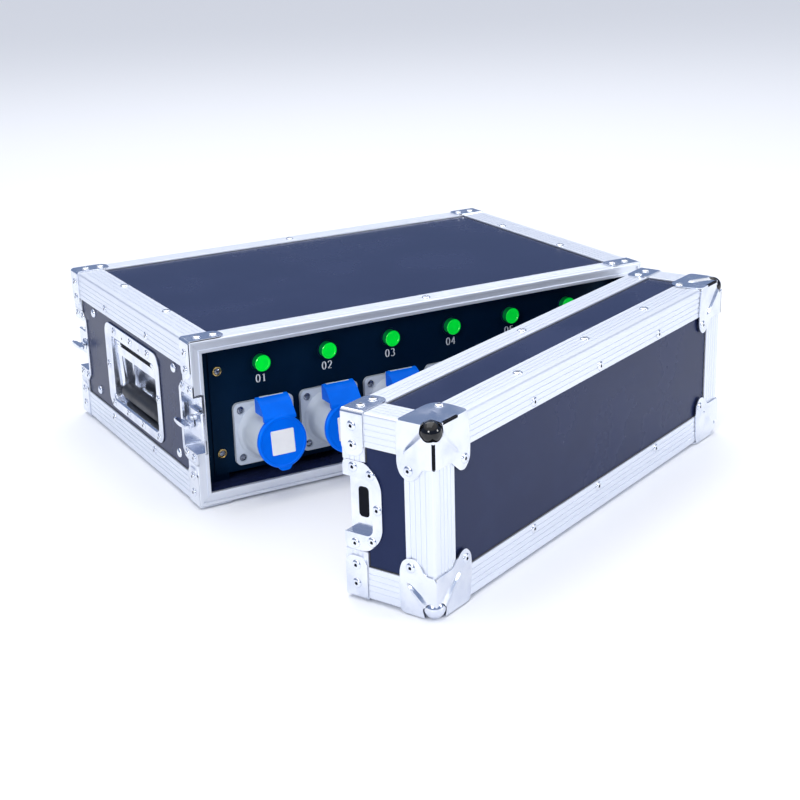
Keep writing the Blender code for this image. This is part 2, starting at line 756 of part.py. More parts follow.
def front_fittings(case):
    """The front panel with its outlets, their lids and the lamps above them."""
    socket_up, lamp_up = SOCKET_UP - HEIGHT / 2, LAMP_UP - HEIGHT / 2
    holes = [circle(OUTLET.back + HOLE_ROOM, ROUND_SIDES, way_x(way), socket_up) for way in range(WAYS)]
    holes += [circle(LAMP_THREAD + SINK, SMALL_SIDES, way_x(way), lamp_up) for way in range(WAYS)]
    rack_panel("front_panel", -1, PANEL_Y, holes, case)
    lens = [
        (0, LAMP_PROUD), (LAMP_RADIUS - LAMP_CHAMFER, LAMP_PROUD), (LAMP_RADIUS, LAMP_PROUD - LAMP_CHAMFER),
        (LAMP_RADIUS, BEZEL_THICK), (LAMP_BEZEL, BEZEL_THICK), (LAMP_BEZEL, GAP), (LAMP_THREAD, GAP),
        (LAMP_THREAD, -LAMP_BACK), (0, -LAMP_BACK),
    ]
    for way in range(WAYS):
        number = way + 1
        frame = facing((0, -1, 0), (way_x(way), PANEL_Y, BOTTOM + LAMP_UP))
        piece(f"lamp_{number}", turned(lens, LAMP_SIDES, frame), "lamp_green", case)
        frame = facing((0, -1, 0), (way_x(way), PANEL_Y, BOTTOM + SOCKET_UP))
        connector_body(f"socket_{number}", OUTLET, frame, case)
        connector_lid(f"socket_lid_{number}", OUTLET, "socket_blue", frame, case)


def rear_fittings(case):
    """The rear panel with the supply inlet and the main breaker."""
    inlet = circle(INLET.back + HOLE_ROOM, ROUND_SIDES, -INLET_SIDE, -INLET_DROP)
    window = [(BREAKER_SIDE + x, y) for x, y in rectangle(BREAKER_WIDTH, NOSE_HEIGHT)]
    rack_panel("rear_panel", 1, REAR_PANEL_Y, [inlet, window], case)
    frame = facing((0, 1, 0), (0, REAR_PANEL_Y, MIDDLE))
    place = frame @ Matrix.Translation((-INLET_SIDE, -INLET_DROP, 0))
    connector_body("supply_inlet", INLET, place, case)
    connector_lid("supply_inlet_lid", INLET, "socket_blue", place, case)

    place = frame @ Matrix.Translation((BREAKER_SIDE, 0, 0))
    half, tall = BREAKER_WIDTH / 2, BREAKER_HEIGHT / 2
    behind = -RACK_SHEET - GAP
    body = box((-half, -tall, behind - BREAKER_DEPTH), (half, tall, behind), place)
    breaker = piece("main_breaker", body, "breaker_grey", case)
    half, tall = half - GAP, NOSE_HEIGHT / 2 - GAP
    join(breaker, box((-half, -tall, behind - SINK), (half, tall, NOSE_PROUD), place))
    half, tall = BREAKER_WIDTH / 2 - TOGGLE_SLOT_SIDE, TOGGLE_SLOT_HEIGHT / 2
    cut(breaker, box((-half, -tall, -TOGGLE_SLOT_DEPTH), (half, tall, SPARE), place))

    axis = Vector((0, 0, GAP + TOGGLE_RADIUS - TOGGLE_SLOT_DEPTH))
    reach = Vector((half - GAP, 0, 0))
    toggle = piece(
        "main_breaker_toggle", rod(axis - reach, axis + reach, TOGGLE_RADIUS, SMALL_SIDES, place),
        "panel_black", case, place @ axis,
    )
    lean = place @ Matrix.Translation(axis) @ Matrix.Rotation(-TOGGLE_LEAN, 4, "X")
    half -= 2 * GAP
    lever = box((-half, -TOGGLE_THICK / 2, 0), (half, TOGGLE_THICK / 2, TOGGLE_LEVER), lean)
    join(toggle, lever)


def wiring(case):
    """The terminal strip on its rail, with the cables to the outlets, the inlet and the breaker."""
    floor = BOTTOM + BOARD_INNER + GAP
    long = BLOCKS * BLOCK_PITCH / 2
    low, high = floor + DIN_RAIL_HEIGHT - SINK, floor + DIN_RAIL_HEIGHT + BLOCK_HEIGHT
    slot = high - BLOCK_SLOT_DEPTH
    comb = [(-long, low), (long, low)]
    for block in range(BLOCKS):
        right = long - block * BLOCK_PITCH - BLOCK_SLOT / 2
        left = right - BLOCK_PITCH + BLOCK_SLOT
        comb += [(right, slot), (right, high), (left, high), (left, slot)]
    comb[2], comb[-1] = (long, slot), (-long, slot)
    frame = facing((0, -1, 0), (0, STRIP_Y, 0))
    blocks = plate([comb], -BLOCK_DEPTH / 2, BLOCK_DEPTH / 2, frame)
    strip = piece("terminal_strip_and_wiring", blocks, "wiring_black", case)
    rail = Vector((long + BLOCK_PITCH, DIN_RAIL_WIDTH / 2, DIN_RAIL_HEIGHT))
    join(strip, box((-rail.x, STRIP_Y - rail.y, floor), (rail.x, STRIP_Y + rail.y, floor + rail.z)))

    level = low + BLOCK_HEIGHT / 2
    back = Vector((0, 1, 0))
    near, far = STRIP_Y - BLOCK_DEPTH / 2 + SINK, STRIP_Y + BLOCK_DEPTH / 2 - SINK
    for way in range(WAYS):
        start = Vector((way_x(way), PANEL_Y + OUTLET.depth + GAP, BOTTOM + SOCKET_UP))
        end = Vector(((way - (WAYS - 1) / 2) * BRANCH_SPACING, near, level))
        join(strip, cable(start, back, end, back, BRANCH_RADIUS))
    start = Vector((INLET_SIDE, REAR_PANEL_Y - INLET.depth - GAP, MIDDLE - INLET_DROP))
    join(strip, cable(start, -back, Vector((BRANCH_SPACING, far, level)), -back, FEED_RADIUS))
    middle = REAR_PANEL_Y - RACK_SHEET - GAP - BREAKER_DEPTH / 2
    start = Vector((-BREAKER_SIDE, middle, MIDDLE - BREAKER_HEIGHT / 2 - GAP))
    down = Vector((0, 0, -1))
    join(strip, cable(start, down, Vector((-BRANCH_SPACING, far, level)), -back, FEED_RADIUS))


# Lid


def lid_box(lid):
    """The lid's five laminated boards, as the one tray that they are glued into."""
    side, back = WIDTH / 2 - INSET, LID_BACK - RIM_WEB - GAP
    low, high = BOTTOM + INSET, TOP - INSET
    made = piece("lid_box", box((-side, LID_FACE + INSET, low), (side, back, high)), "laminate", lid)
    inside = box((PLY - side, LID_FACE + INSET + PLY, low + PLY), (side - PLY, back + SPARE, high - PLY))
    cut(made, inside)
    tall, reach = CATCH_POCKET_HEIGHT / 2 + SHEET + GAP, CATCH_POCKET_REACH + SHEET + GAP
    for sign in (-1, 1):
        frame = latch_frame(sign, 1, LID_BACK)
        cut(made, box((-SPARE, -tall, -BOARD_INNER - SPARE), (reach, tall, SPARE), frame))


def lid_edge_frame(lid):
    """The angles round the lid's outer face and along its four short edges."""
    side, end = WIDTH / 2, LID_BACK - RIM_FLANGE - GAP
    made = piece("lid_edge_frame", box((-side, LID_FACE, BOTTOM), (side, end, TOP)), "aluminium", lid)
    inner = side - SKIN
    hollow = (-inner, LID_FACE + SKIN, BOTTOM + SKIN), (inner, end + SPARE, TOP - SKIN)
    cut(made, box(*hollow))
    clear = side - ANGLE_LEG
    low, high = BOTTOM + ANGLE_LEG, TOP - ANGLE_LEG
    cut(made, box((-clear, LID_FACE - SPARE, low), (clear, LID_FACE + 2 * SPARE, high)))
    start, far = LID_FACE + ANGLE_LEG, side + SPARE
    cut(made, box((-clear, start, BOTTOM - SPARE), (clear, end + SPARE, TOP + SPARE)))
    cut(made, box((-far, start, low), (far, end + SPARE, high)))


def ball_corner(name, sign, up, lid):
    """Three corner plates that meet in a ball, pressed as one piece."""
    point = (sign * WIDTH / 2, LID_FACE, MIDDLE + up * HEIGHT / 2)
    frame = across((-sign, 0, 0), (0, 0, -up), point)
    inward = 1 if frame.col[2].y > 0 else -1
    outer, slope = GAP + SHEET, CORNER_FACE - CORNER_CHAMFER
    face = [
        (-outer, -outer), (CORNER_FACE, -outer), (CORNER_FACE, slope),
        (slope, CORNER_FACE), (-outer, CORNER_FACE),
    ]
    near, far = sorted((-outer * inward, CORNER_SIDE * inward))
    made = piece(name, plate([face], near, far, frame), "steel", lid)
    inset = BALL_RADIUS - BALL_PROUD
    ball = bmesh.new()
    bmesh.ops.create_uvsphere(ball, u_segments=GRIP_SIDES, v_segments=PIN_SIDES, radius=BALL_RADIUS)
    join(made, closed_mesh(ball, frame @ Matrix.Translation((inset, inset, inset * inward))))
    far = CORNER_FACE + SPARE
    near, deep = sorted((-GAP * inward, far * inward))
    cut(made, box((-GAP, -GAP, near), (far, far, deep), frame))


# Assembly


def build():
    """Makes every sub-part of the case and of the lid."""
    case = empty("case_frame", (CASE_X, CASE_Y, 0))
    lid = empty("lid_frame", (CASE_X + POLE.x, CASE_Y + POLE.y, 0), LID_TURN)
    boards(case)
    edge_angles(case)
    rim("front_rim", -1, FRONT, case, tongue=False)
    rim("rear_rim", 1, REAR, case, tongue=False)
    for hand, sign in (("left", -1), ("right", 1)):
        handle(hand, sign, case)
        for end, outward in (("front", -1), ("rear", 1)):
            latch(f"{end}_{hand}", sign, outward, case)
    front_fittings(case)
    rear_fittings(case)
    wiring(case)
    lid_box(lid)
    lid_edge_frame(lid)
    rim("lid_rim", 1, LID_BACK, lid, tongue=True)
    for hand, sign in (("left", -1), ("right", 1)):
        catch(f"lid_{hand}_catch", sign, lid)
        for height, up in (("top", 1), ("bottom", -1)):
            ball_corner(f"lid_{height}_{hand}_corner", sign, up, lid)


build()
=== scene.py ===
"""The looks of the six-way power distribution box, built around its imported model.

Lengths are metres. Pieces are made in the case's own frame: its origin is the case's lower left
front corner, +X runs along the front, +Y to the rear and +Z up. The lid's pieces are made in the
same frame with the lid shut, and are then carried to where the lid stands.
"""

import json
import math

import bmesh
import bpy
from bpy.props import FloatProperty, FloatVectorProperty, IntProperty, PointerProperty
from mathutils import Matrix, Vector


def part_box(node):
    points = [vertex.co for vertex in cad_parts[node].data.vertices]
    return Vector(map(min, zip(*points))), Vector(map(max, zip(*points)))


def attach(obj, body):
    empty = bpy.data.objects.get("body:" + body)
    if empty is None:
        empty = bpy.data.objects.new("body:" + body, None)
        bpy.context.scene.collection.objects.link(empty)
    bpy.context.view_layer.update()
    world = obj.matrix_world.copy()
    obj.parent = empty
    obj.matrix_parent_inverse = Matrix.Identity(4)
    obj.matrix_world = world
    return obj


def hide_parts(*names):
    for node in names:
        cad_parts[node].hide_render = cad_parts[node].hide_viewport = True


bl_info = {
    "name": "Power distribution box",
    "version": (1, 0, 0),
    "blender": (4, 5, 0),
    "location": "3D View > Sidebar > Power Box",
    "description": "Builds the visible pieces of a cased power distribution box",
    "category": "Object",
}

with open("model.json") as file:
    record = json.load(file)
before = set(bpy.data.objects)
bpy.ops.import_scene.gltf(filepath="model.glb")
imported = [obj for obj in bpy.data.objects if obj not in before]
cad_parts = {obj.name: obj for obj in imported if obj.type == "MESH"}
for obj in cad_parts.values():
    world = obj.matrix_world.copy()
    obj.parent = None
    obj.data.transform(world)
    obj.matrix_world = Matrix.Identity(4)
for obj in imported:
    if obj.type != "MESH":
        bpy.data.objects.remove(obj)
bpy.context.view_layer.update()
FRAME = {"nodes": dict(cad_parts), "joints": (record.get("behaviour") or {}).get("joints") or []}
NODES = FRAME["nodes"]

# The case, from the frame
LEFT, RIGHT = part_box("bottom_left_edge_angle")[0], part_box("top_right_edge_angle")[1]
LOW = Vector((LEFT.x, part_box("front_rim")[0].y, LEFT.z))
HIGH = Vector((RIGHT.x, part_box("rear_rim")[1].y, RIGHT.z))
WIDE, DEEP, TALL = HIGH - LOW
MIDDLE = TALL / 2
CASE = Matrix.Translation(LOW)

# The lid, from its joint: its least angle shuts it, and the frame has it at zero
LID_JOINT = next(joint for joint in FRAME["joints"] if joint["name"] == "lid_place")
POLE = Matrix.Translation(LID_JOINT["pos_m"])
LID_TURN = Matrix.Rotation(-math.radians(LID_JOINT["range_deg"][0]), 4, "Z")
LID = POLE @ LID_TURN @ POLE.inverted() @ CASE
LID_BACK = -0.0005
LID_DEPTH = 0.094
LID_FACE = LID_BACK - LID_DEPTH

# Sheet and joint sizes that pieces share
SKIN = 0.0015
SHEET = 0.0012
GAP = 0.0003
SPARE = 0.005
INSET = SKIN + GAP
BOARD = 0.009
BOARD_INNER = INSET + BOARD
RIM_FACE = BOARD_INNER + GAP + SKIN
HANDS = (("left", -1), ("right", 1))
MERGE = 1e-6
AXIS = 1e-5
SHARP = math.radians(32)
SEGMENTS = 48


# Flat outlines


def rectangle(width, height):
    """A rectangle about the origin."""
    x, y = width / 2, height / 2
    return [(-x, -y), (x, -y), (x, y), (-x, y)]


def band(width, height, thin):
    """The two loops of a thin rectangular frame about the origin."""
    return rectangle(width, height), rectangle(width - 2 * thin, height - 2 * thin)


def rounded(width, height, radius, steps=6):
    """A rectangle about the origin with round corners."""
    loop = []
    for corner in range(4):
        x = (width / 2 - radius) * (1 if corner in (0, 3) else -1)
        y = (height / 2 - radius) * (1 if corner in (0, 1) else -1)
        for step in range(steps + 1):
            angle = math.pi / 2 * (corner + step / steps)
            loop.append((x + radius * math.cos(angle), y + radius * math.sin(angle)))
    return loop


def circle(radius, sides=SEGMENTS):
    """A circle about the origin as a polygon."""
    turns = [2 * math.pi * side / sides for side in range(sides)]
    return [(radius * math.cos(turn), radius * math.sin(turn)) for turn in turns]


def bend(start, corner, end, radius, steps=6):
    """Points round a corner between two straights."""
    start, corner, end = Vector(start), Vector(corner), Vector(end)
    first = corner + (start - corner).normalized() * radius
    last = corner + (end - corner).normalized() * radius
    turns = [step / steps for step in range(steps + 1)]
    return [(1 - t) ** 2 * first + 2 * t * (1 - t) * corner + t**2 * last for t in turns]


def softened(points, radius, steps=4):
    """A polygon with its corners rounded off."""
    loop = []
    for index, here in enumerate(points):
        before, after = points[index - 1], points[(index + 1) % len(points)]
        sides = [(Vector(end) - Vector(here)).length * 0.45 for end in (before, after)]
        loop += [tuple(point) for point in bend(before, here, after, min(radius, *sides), steps)]
    return loop


def shifted(loop, x, y, *z):
    """A flat loop moved in its plane, and placed in space where a height is given."""
    return [(px + x, py + y, *z) for px, py in loop]


def grooved(start, end, count, depth, width):
    """The (along, down) points of a flat from start to end with grooves pressed into it."""
    points = [(start, 0.0)]
    for groove in range(count):
        middle = start + (end - start) * (groove + 1) / (count + 1)
        half = math.copysign(width / 2, end - start)
        for share, down in ((-1, 0.0), (-0.5, depth), (0.5, depth), (1, 0.0)):
            points.append((middle + half * share, down))
    points.append((end, 0.0))
    return points


# Frames


def facing(direction, point):
    """A frame at point: Z looks along direction, and Y points up the wall, or back on a level one."""
    normal = Vector(direction)
    up = Vector((0, 1, 0)) if abs(normal.z) > 0.5 else Vector((0, 0, 1))
    return Matrix.Translation(point) @ Matrix((up.cross(normal), up, normal)).transposed().to_4x4()


def across(first, second, point=(0, 0, 0)):
    """A frame at point with the given X and Y directions."""
    first, second = Vector(first), Vector(second)
    return Matrix.Translation(point) @ Matrix((first, second, first.cross(second))).transposed().to_4x4()


def looking(normal, point=(0, 0, 0)):
    """A frame at point whose Z looks along normal."""
    return Matrix.Translation(point) @ Vector(normal).to_track_quat("Z", "Y").to_matrix().to_4x4()


def wall_frame(sign, y, z):
    """A frame on the left (-1) or right (1) wall: X runs towards the rear, Y up and Z out."""
    frame = across((0, 1, 0), (0, 0, 1), ((WIDE if sign > 0 else 0), y, z))
    return frame if sign > 0 else frame @ Matrix.Diagonal((1, 1, -1, 1))


# Meshes


def to_mesh(shape, frame=None):
    """Closes a working mesh, points its faces out and carries it into a frame."""
    bmesh.ops.remove_doubles(shape, verts=shape.verts, dist=MERGE)
    if frame:
        bmesh.ops.transform(shape, matrix=frame, verts=shape.verts)
    bmesh.ops.recalc_face_normals(shape, faces=shape.faces)
    mesh = bpy.data.meshes.new("shape")
    shape.to_mesh(mesh)
    shape.free()
    return mesh


def shown_mesh(guide):
    """The mesh that an object shows, after which the object is removed."""
    bpy.context.scene.collection.objects.link(guide)
    bpy.context.view_layer.update()
    seen = guide.evaluated_get(bpy.context.evaluated_depsgraph_get())
    made = bpy.data.meshes.new_from_object(seen)
    bpy.data.objects.remove(guide)
    return made


def box(low, high, frame=None):
    """A box between two corners."""
    low, high = Vector(low), Vector(high)
    shape = bmesh.new()
    size = Matrix.Diagonal((*(high - low), 1))
    bmesh.ops.create_cube(shape, size=1, matrix=Matrix.Translation((low + high) / 2) @ size)
    return to_mesh(shape, frame)


def skin(rings, closed=False):
    """A working mesh through rings of as many points each, and those rings' vertices."""
    shape = bmesh.new()
    rows = [[shape.verts.new(point) for point in ring] for ring in rings]
    pairs = list(zip(rows, rows[1:]))
    if closed:
        pairs.append((rows[-1], rows[0]))
    for first, second in pairs:
        for index in range(len(first)):
            after = (index + 1) % len(first)
            shape.faces.new((first[index], first[after], second[after], second[index]))
    return shape, rows


def loft(rings, frame=None, closed=False):
    """A skin through rings of as many points each, capped at its two ends unless it is closed."""
    shape, rows = skin(rings, closed)
    if not closed:
        shape.faces.new(rows[0])
        shape.faces.new(rows[-1])
    return to_mesh(shape, frame)


def plate(loops, low, high, frame=None):
    """A flat outline, with any further loops as holes, from low to high along the frame's Z."""
    curve = bpy.data.curves.new("outline", "CURVE")
    curve.dimensions = "2D"
    curve.fill_mode = "BOTH"
    curve.extrude = (high - low) / 2
    for loop in loops:
        spline = curve.splines.new("POLY")
        spline.points.add(len(loop) - 1)
        for point, (x, y) in zip(spline.points, loop):
            point.co = (x, y, 0, 1)
        spline.use_cyclic_u = True
    flat = shown_mesh(bpy.data.objects.new("outline", curve))
    shape = bmesh.new()
    shape.from_mesh(flat)
    bmesh.ops.translate(shape, verts=shape.verts, vec=(0, 0, (low + high) / 2))
    return to_mesh(shape, frame)


def turned(profile, frame=None, sides=SEGMENTS):
    """A profile of (radius, height) points turned about the frame's Z."""
    rings = []
    for radius, height in profile:
        rings.append([(x, y, height) for x, y in circle(max(radius, AXIS), sides)])
    return loft(rings, frame)


def tube(points, radius, sides=16):
    """A round bar along a route, with flat ends."""
    points = [Vector(point) for point in points]
    rings, side = [], None
    for index, point in enumerate(points):
        before, after = points[max(index - 1, 0)], points[min(index + 1, len(points) - 1)]
        along = (after - before).normalized()
        if side is None:
            side = along.orthogonal().normalized()
        side = (side - along * side.dot(along)).normalized()
        other = along.cross(side)
        rings.append([point + side * x + other * y for x, y in circle(radius, sides)])
    return loft(rings)


def combined(mesh, others, operation):
    """A mesh after Boolean steps with other meshes."""
    guide = bpy.data.objects.new("guide", mesh)
    helpers = []
    for other in others:
        helper = bpy.data.objects.new("helper", other)
        bpy.context.scene.collection.objects.link(helper)
        helpers.append(helper)
        step = guide.modifiers.new("step", "BOOLEAN")
        step.operation = operation
        step.solver = "EXACT"
        step.object = helper
    made = shown_mesh(guide)
    for helper in helpers:
        bpy.data.objects.remove(helper)
    return made


def cut(mesh, *others):
    """A mesh with shapes cut out of it."""
    return combined(mesh, others, "DIFFERENCE")


def join(mesh, *others):
    """A mesh with shapes joined to it."""
    return combined(mesh, others, "UNION")


def ease(thing, width, segments):
    """Rounds an object's sharp edges off, as a modifier."""
    step = thing.modifiers.new("ease", "BEVEL")
    step.width = width
    step.segments = segments
    step.limit_method = "ANGLE"
    step.angle_limit = SHARP
    return step


def eased(mesh, width=0.0004, segments=2):
    """A mesh with its edges rounded off."""
    guide = bpy.data.objects.new("guide", mesh)
    ease(guide, width, segments).use_clamp_overlap = True
    return shown_mesh(guide)


def moved(mesh, matrix):
    """A copy of a mesh carried by a matrix."""
    copy = mesh.copy()
    copy.transform(matrix)
    if matrix.determinant() < 0:
        copy.flip_normals()
    return copy


def pressed(rings, thickness):
    """A sheet pressed through rings of as many points each, the last one filled, with its back."""
    shape, rows = skin(rings)
    shape.faces.new(rows[-1])
    mesh = bpy.data.meshes.new("sheet")
    shape.to_mesh(mesh)
    shape.free()
    guide = bpy.data.objects.new("guide", mesh)
    step = guide.modifiers.new("back", "SOLIDIFY")
    step.thickness = thickness
    step.offset = -1
    made = shown_mesh(guide)
    shape = bmesh.new()
    shape.from_mesh(made)
    return to_mesh(shape)


def in_frame(shapes, frame):
    """Shapes by finish, carried into a frame."""
    return {look: [moved(shape, frame) for shape in parts] for look, parts in shapes.items()}


def piece(name, body, shapes, nodes=(), place=CASE):
    """One named object of shapes in several finishes, riding on a body in place of some nodes."""
    whole = bmesh.new()
    mesh = bpy.data.meshes.new(name)
    for number, (look, parts) in enumerate(shapes.items()):
        mesh.materials.append(finish(look))
        for part in parts:
            before = len(whole.faces)
            whole.from_mesh(part)
            whole.faces.ensure_lookup_table()
            for face in whole.faces[before:]:
                face.material_index = number
    whole.to_mesh(mesh)
    whole.free()
    mesh.shade_smooth()
    mesh.set_sharp_from_angle(angle=SHARP)
    if not any(look.startswith("aluminium") for look in shapes):
        mesh.transform(place)
        place = Matrix.Identity(4)
    made = bpy.data.objects.new(name, mesh)
    bpy.context.scene.collection.objects.link(made)
    made.matrix_world = place
    step = made.modifiers.new("normals", "WEIGHTED_NORMAL")
    step.keep_sharp = True
    step.weight = 60
    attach(made, body)
    if nodes:
        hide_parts(*nodes)
    return made


def dressed(look, *names):
    """Gives carried-over nodes a finish, with softened edges."""
    for name in names:
        node = NODES[name]
        node.data.materials.clear()
        node.data.materials.append(finish(look))
        ease(node, 0.0004, 2).harden_normals = True


# Shader groups and finishes


def new_group(name, inputs, outputs):
    """An empty shader group with named sockets."""
    group = bpy.data.node_groups.new(name, "ShaderNodeTree")
    for label, kind, value in inputs:
        socket = group.interface.new_socket(label, in_out="INPUT", socket_type=kind)
        if value is not None:
            socket.default_value = value
    for label in outputs:
        group.interface.new_socket(label, in_out="OUTPUT", socket_type="NodeSocketFloat")
    return group, group.nodes.new("NodeGroupInput"), group.nodes.new("NodeGroupOutput")


def wire(tree, *ends):
    """Links pairs of sockets."""
    for start, end in ends:
        tree.links.new(start, end)


def noise_node(tree, detail, roughness):
    """A noise texture with its fixed settings."""
    node = tree.nodes.new("ShaderNodeTexNoise")
    node.inputs["Detail"].default_value = detail
    node.inputs["Roughness"].default_value = roughness
    return node


def drawn_lines_group():
    """Fine lines along a drawn or rolled surface."""
    inputs = [("Vector", "NodeSocketVector", None), ("Stretch", "NodeSocketVector", (1, 1, 1))]
    group, start, end = new_group("Drawn lines", inputs, ["Lines"])
    stretched = group.nodes.new("ShaderNodeVectorMath")
    stretched.operation = "MULTIPLY"
    noise = noise_node(group, 3, 0.6)
    noise.inputs["Scale"].default_value = 1.0
    wire(
        group,
        (start.outputs["Vector"], stretched.inputs[0]),
        (start.outputs["Stretch"], stretched.inputs[1]),
        (stretched.outputs[0], noise.inputs["Vector"]),
        (noise.outputs["Fac"], end.inputs["Lines"]),
    )
    return group


def smudges_group():
    """Soft patches left by hands and cloths."""
    inputs = [("Vector", "NodeSocketVector", None), ("Scale", "NodeSocketFloat", 20.0)]
    group, start, end = new_group("Smudges", inputs, ["Mask"])
    noise = noise_node(group, 5, 0.55)
    spread = group.nodes.new("ShaderNodeMapRange")
    spread.interpolation_type = "SMOOTHSTEP"
    spread.inputs["From Min"].default_value = 0.38
    spread.inputs["From Max"].default_value = 0.68
    wire(
        group,
        (start.outputs["Vector"], noise.inputs["Vector"]),
        (start.outputs["Scale"], noise.inputs["Scale"]),
        (noise.outputs["Fac"], spread.inputs["Value"]),
        (spread.outputs["Result"], end.inputs["Mask"]),
    )
    return group


def pebble_group():
    """The fine pebble of moulded, laminated and powder-coated surfaces."""
    inputs = [("Vector", "NodeSocketVector", None), ("Scale", "NodeSocketFloat", 900.0)]
    group, start, end = new_group("Pebble", inputs, ["Height"])
    cells = group.nodes.new("ShaderNodeTexVoronoi")
    cells.feature = "SMOOTH_F1"
    cells.inputs["Smoothness"].default_value = 0.8
    noise = noise_node(group, 2, 0.5)
    blend = group.nodes.new("ShaderNodeMath")
    blend.operation = "MULTIPLY_ADD"
    blend.inputs[1].default_value = 0.6
    for texture in (cells, noise):
        for socket in ("Vector", "Scale"):
            wire(group, (start.outputs[socket], texture.inputs[socket]))
    wire(
        group,
        (cells.outputs["Distance"], blend.inputs[0]),
        (noise.outputs["Fac"], blend.inputs[2]),
        (blend.outputs[0], end.inputs["Height"]),
    )
    return group


GROUPS = {"lines": drawn_lines_group, "smudges": smudges_group, "pebble": pebble_group}

ALUMINIUM = dict(colour=(0.84, 0.87, 0.93), patch=(0.76, 0.80, 0.89), rough=(0.36, 0.50),
                 metallic=0.72, line_bump=0.035)

# Each finish: colour, second colour of its patches, least and most roughness, and further values
FINISHES = {
    "aluminium_x": dict(ALUMINIUM, stretch=(6, 700, 700)),
    "aluminium_y": dict(ALUMINIUM, stretch=(700, 6, 700)),
    "aluminium_z": dict(ALUMINIUM, stretch=(700, 700, 6)),
    "steel": dict(colour=(0.80, 0.83, 0.89), patch=(0.68, 0.72, 0.82), rough=(0.14, 0.26), metallic=1.0,
                  smudge=45.0, pebble=260.0, pebble_bump=0.03),
    # Near-black and matt: painted shadow put in rivet holes, corner slits and slots
    "painted_shadow_black": dict(colour=(0.002, 0.003, 0.007), patch=(0.004, 0.005, 0.011), rough=(0.55, 0.7),
                         smudge=90.0, pebble=900.0, pebble_bump=0.05, specular=0.1),
    # Black gloss: painted reflection of dark surroundings on the top balls' chrome
    "ball_painted_dark_reflection": dict(colour=(0.002, 0.002, 0.003), patch=(0.004, 0.004, 0.005), rough=(0.03, 0.06),
                        smudge=60.0, specular=0.5),
    "laminate": dict(colour=(0.013, 0.019, 0.062), patch=(0.017, 0.025, 0.076), rough=(0.22, 0.30),
                     smudge=9.0, pebble=1400.0, pebble_bump=0.03, specular=0.18, tint=(0.5, 0.7, 1)),
    "panel_black": dict(colour=(0.001, 0.009, 0.028), patch=(0.002, 0.012, 0.036), rough=(0.34, 0.44),
                        smudge=12.0, pebble=1500.0, pebble_bump=0.12, specular=0.10, tint=(0.3, 0.7, 1)),
    "rubber": dict(colour=(0.012, 0.013, 0.018), patch=(0.022, 0.023, 0.030), rough=(0.42, 0.58),
                   smudge=60.0, pebble=1100.0, pebble_bump=0.15),
    "lamp_green": dict(colour=(0.0, 0.72, 0.03), patch=(0.0, 0.62, 0.03), rough=(0.12, 0.2),
                       smudge=120.0, glow=(0.0, 0.85, 0.07), glow_strength=0.28),
    # The lens's side, the same plastic as its front, in a darker green: painted shade
    "lamp_side_painted_shade": dict(colour=(0.0, 0.36, 0.07), patch=(0.0, 0.28, 0.05), rough=(0.15, 0.25),
                      smudge=120.0),
    "socket_blue": dict(colour=(0.0, 0.16, 0.95), patch=(0.0, 0.14, 0.86), rough=(0.30, 0.40),
                        smudge=35.0, pebble=1600.0, pebble_bump=0.04, specular=0.25, tint=(0.2, 0.6, 1)),
    "socket_grey": dict(colour=(0.66, 0.72, 0.80), patch=(0.60, 0.66, 0.75), rough=(0.38, 0.5),
                        smudge=35.0, pebble=1600.0, pebble_bump=0.06),
    "socket_inner": dict(colour=(0.05, 0.055, 0.065), patch=(0.08, 0.085, 0.095), rough=(0.45, 0.6),
                         smudge=60.0, pebble=1200.0, pebble_bump=0.08),
    "label_paper": dict(colour=(0.93, 0.93, 0.95), patch=(0.88, 0.88, 0.91), rough=(0.5, 0.62),
                        smudge=70.0, pebble=2500.0, pebble_bump=0.05),
    "number_paint": dict(colour=(0.86, 0.88, 0.92), patch=(0.76, 0.78, 0.84), rough=(0.4, 0.55),
                         smudge=300.0),
    "screw_gold": dict(colour=(0.86, 0.60, 0.22), patch=(0.62, 0.46, 0.22), rough=(0.2, 0.34),
                       metallic=1.0, smudge=220.0),
    "screw_dark": dict(colour=(0.30, 0.33, 0.40), patch=(0.20, 0.22, 0.28), rough=(0.2, 0.32),
                       metallic=1.0, smudge=200.0),
    "brass": dict(colour=(0.80, 0.62, 0.32), patch=(0.66, 0.48, 0.24), rough=(0.18, 0.3),
                  metallic=1.0, smudge=160.0),
    "breaker_grey": dict(colour=(0.42, 0.43, 0.44), patch=(0.37, 0.38, 0.39), rough=(0.42, 0.55),
                         smudge=40.0, pebble=1500.0, pebble_bump=0.07),
    "breaker_black": dict(colour=(0.012, 0.013, 0.015), patch=(0.02, 0.021, 0.024), rough=(0.35, 0.48),
                          smudge=60.0, pebble=1500.0, pebble_bump=0.07),
    "wiring_black": dict(colour=(0.018, 0.018, 0.022), patch=(0.03, 0.03, 0.034), rough=(0.42, 0.58),
                         smudge=50.0, pebble=1100.0, pebble_bump=0.06),
}


def group_node(tree, kind, place, output, **values):
    """A shader group's output in a material. The group is built the first time it is asked for."""
    label = "box_" + kind
    group = bpy.data.node_groups.get(label)
    if not group:
        group = GROUPS[kind]()
        group.name = label
    node = tree.nodes.new("ShaderNodeGroup")
    node.node_tree = group
    for name, value in values.items():
        node.inputs[name].default_value = value
    tree.links.new(place, node.inputs["Vector"])
    return node.outputs[output]


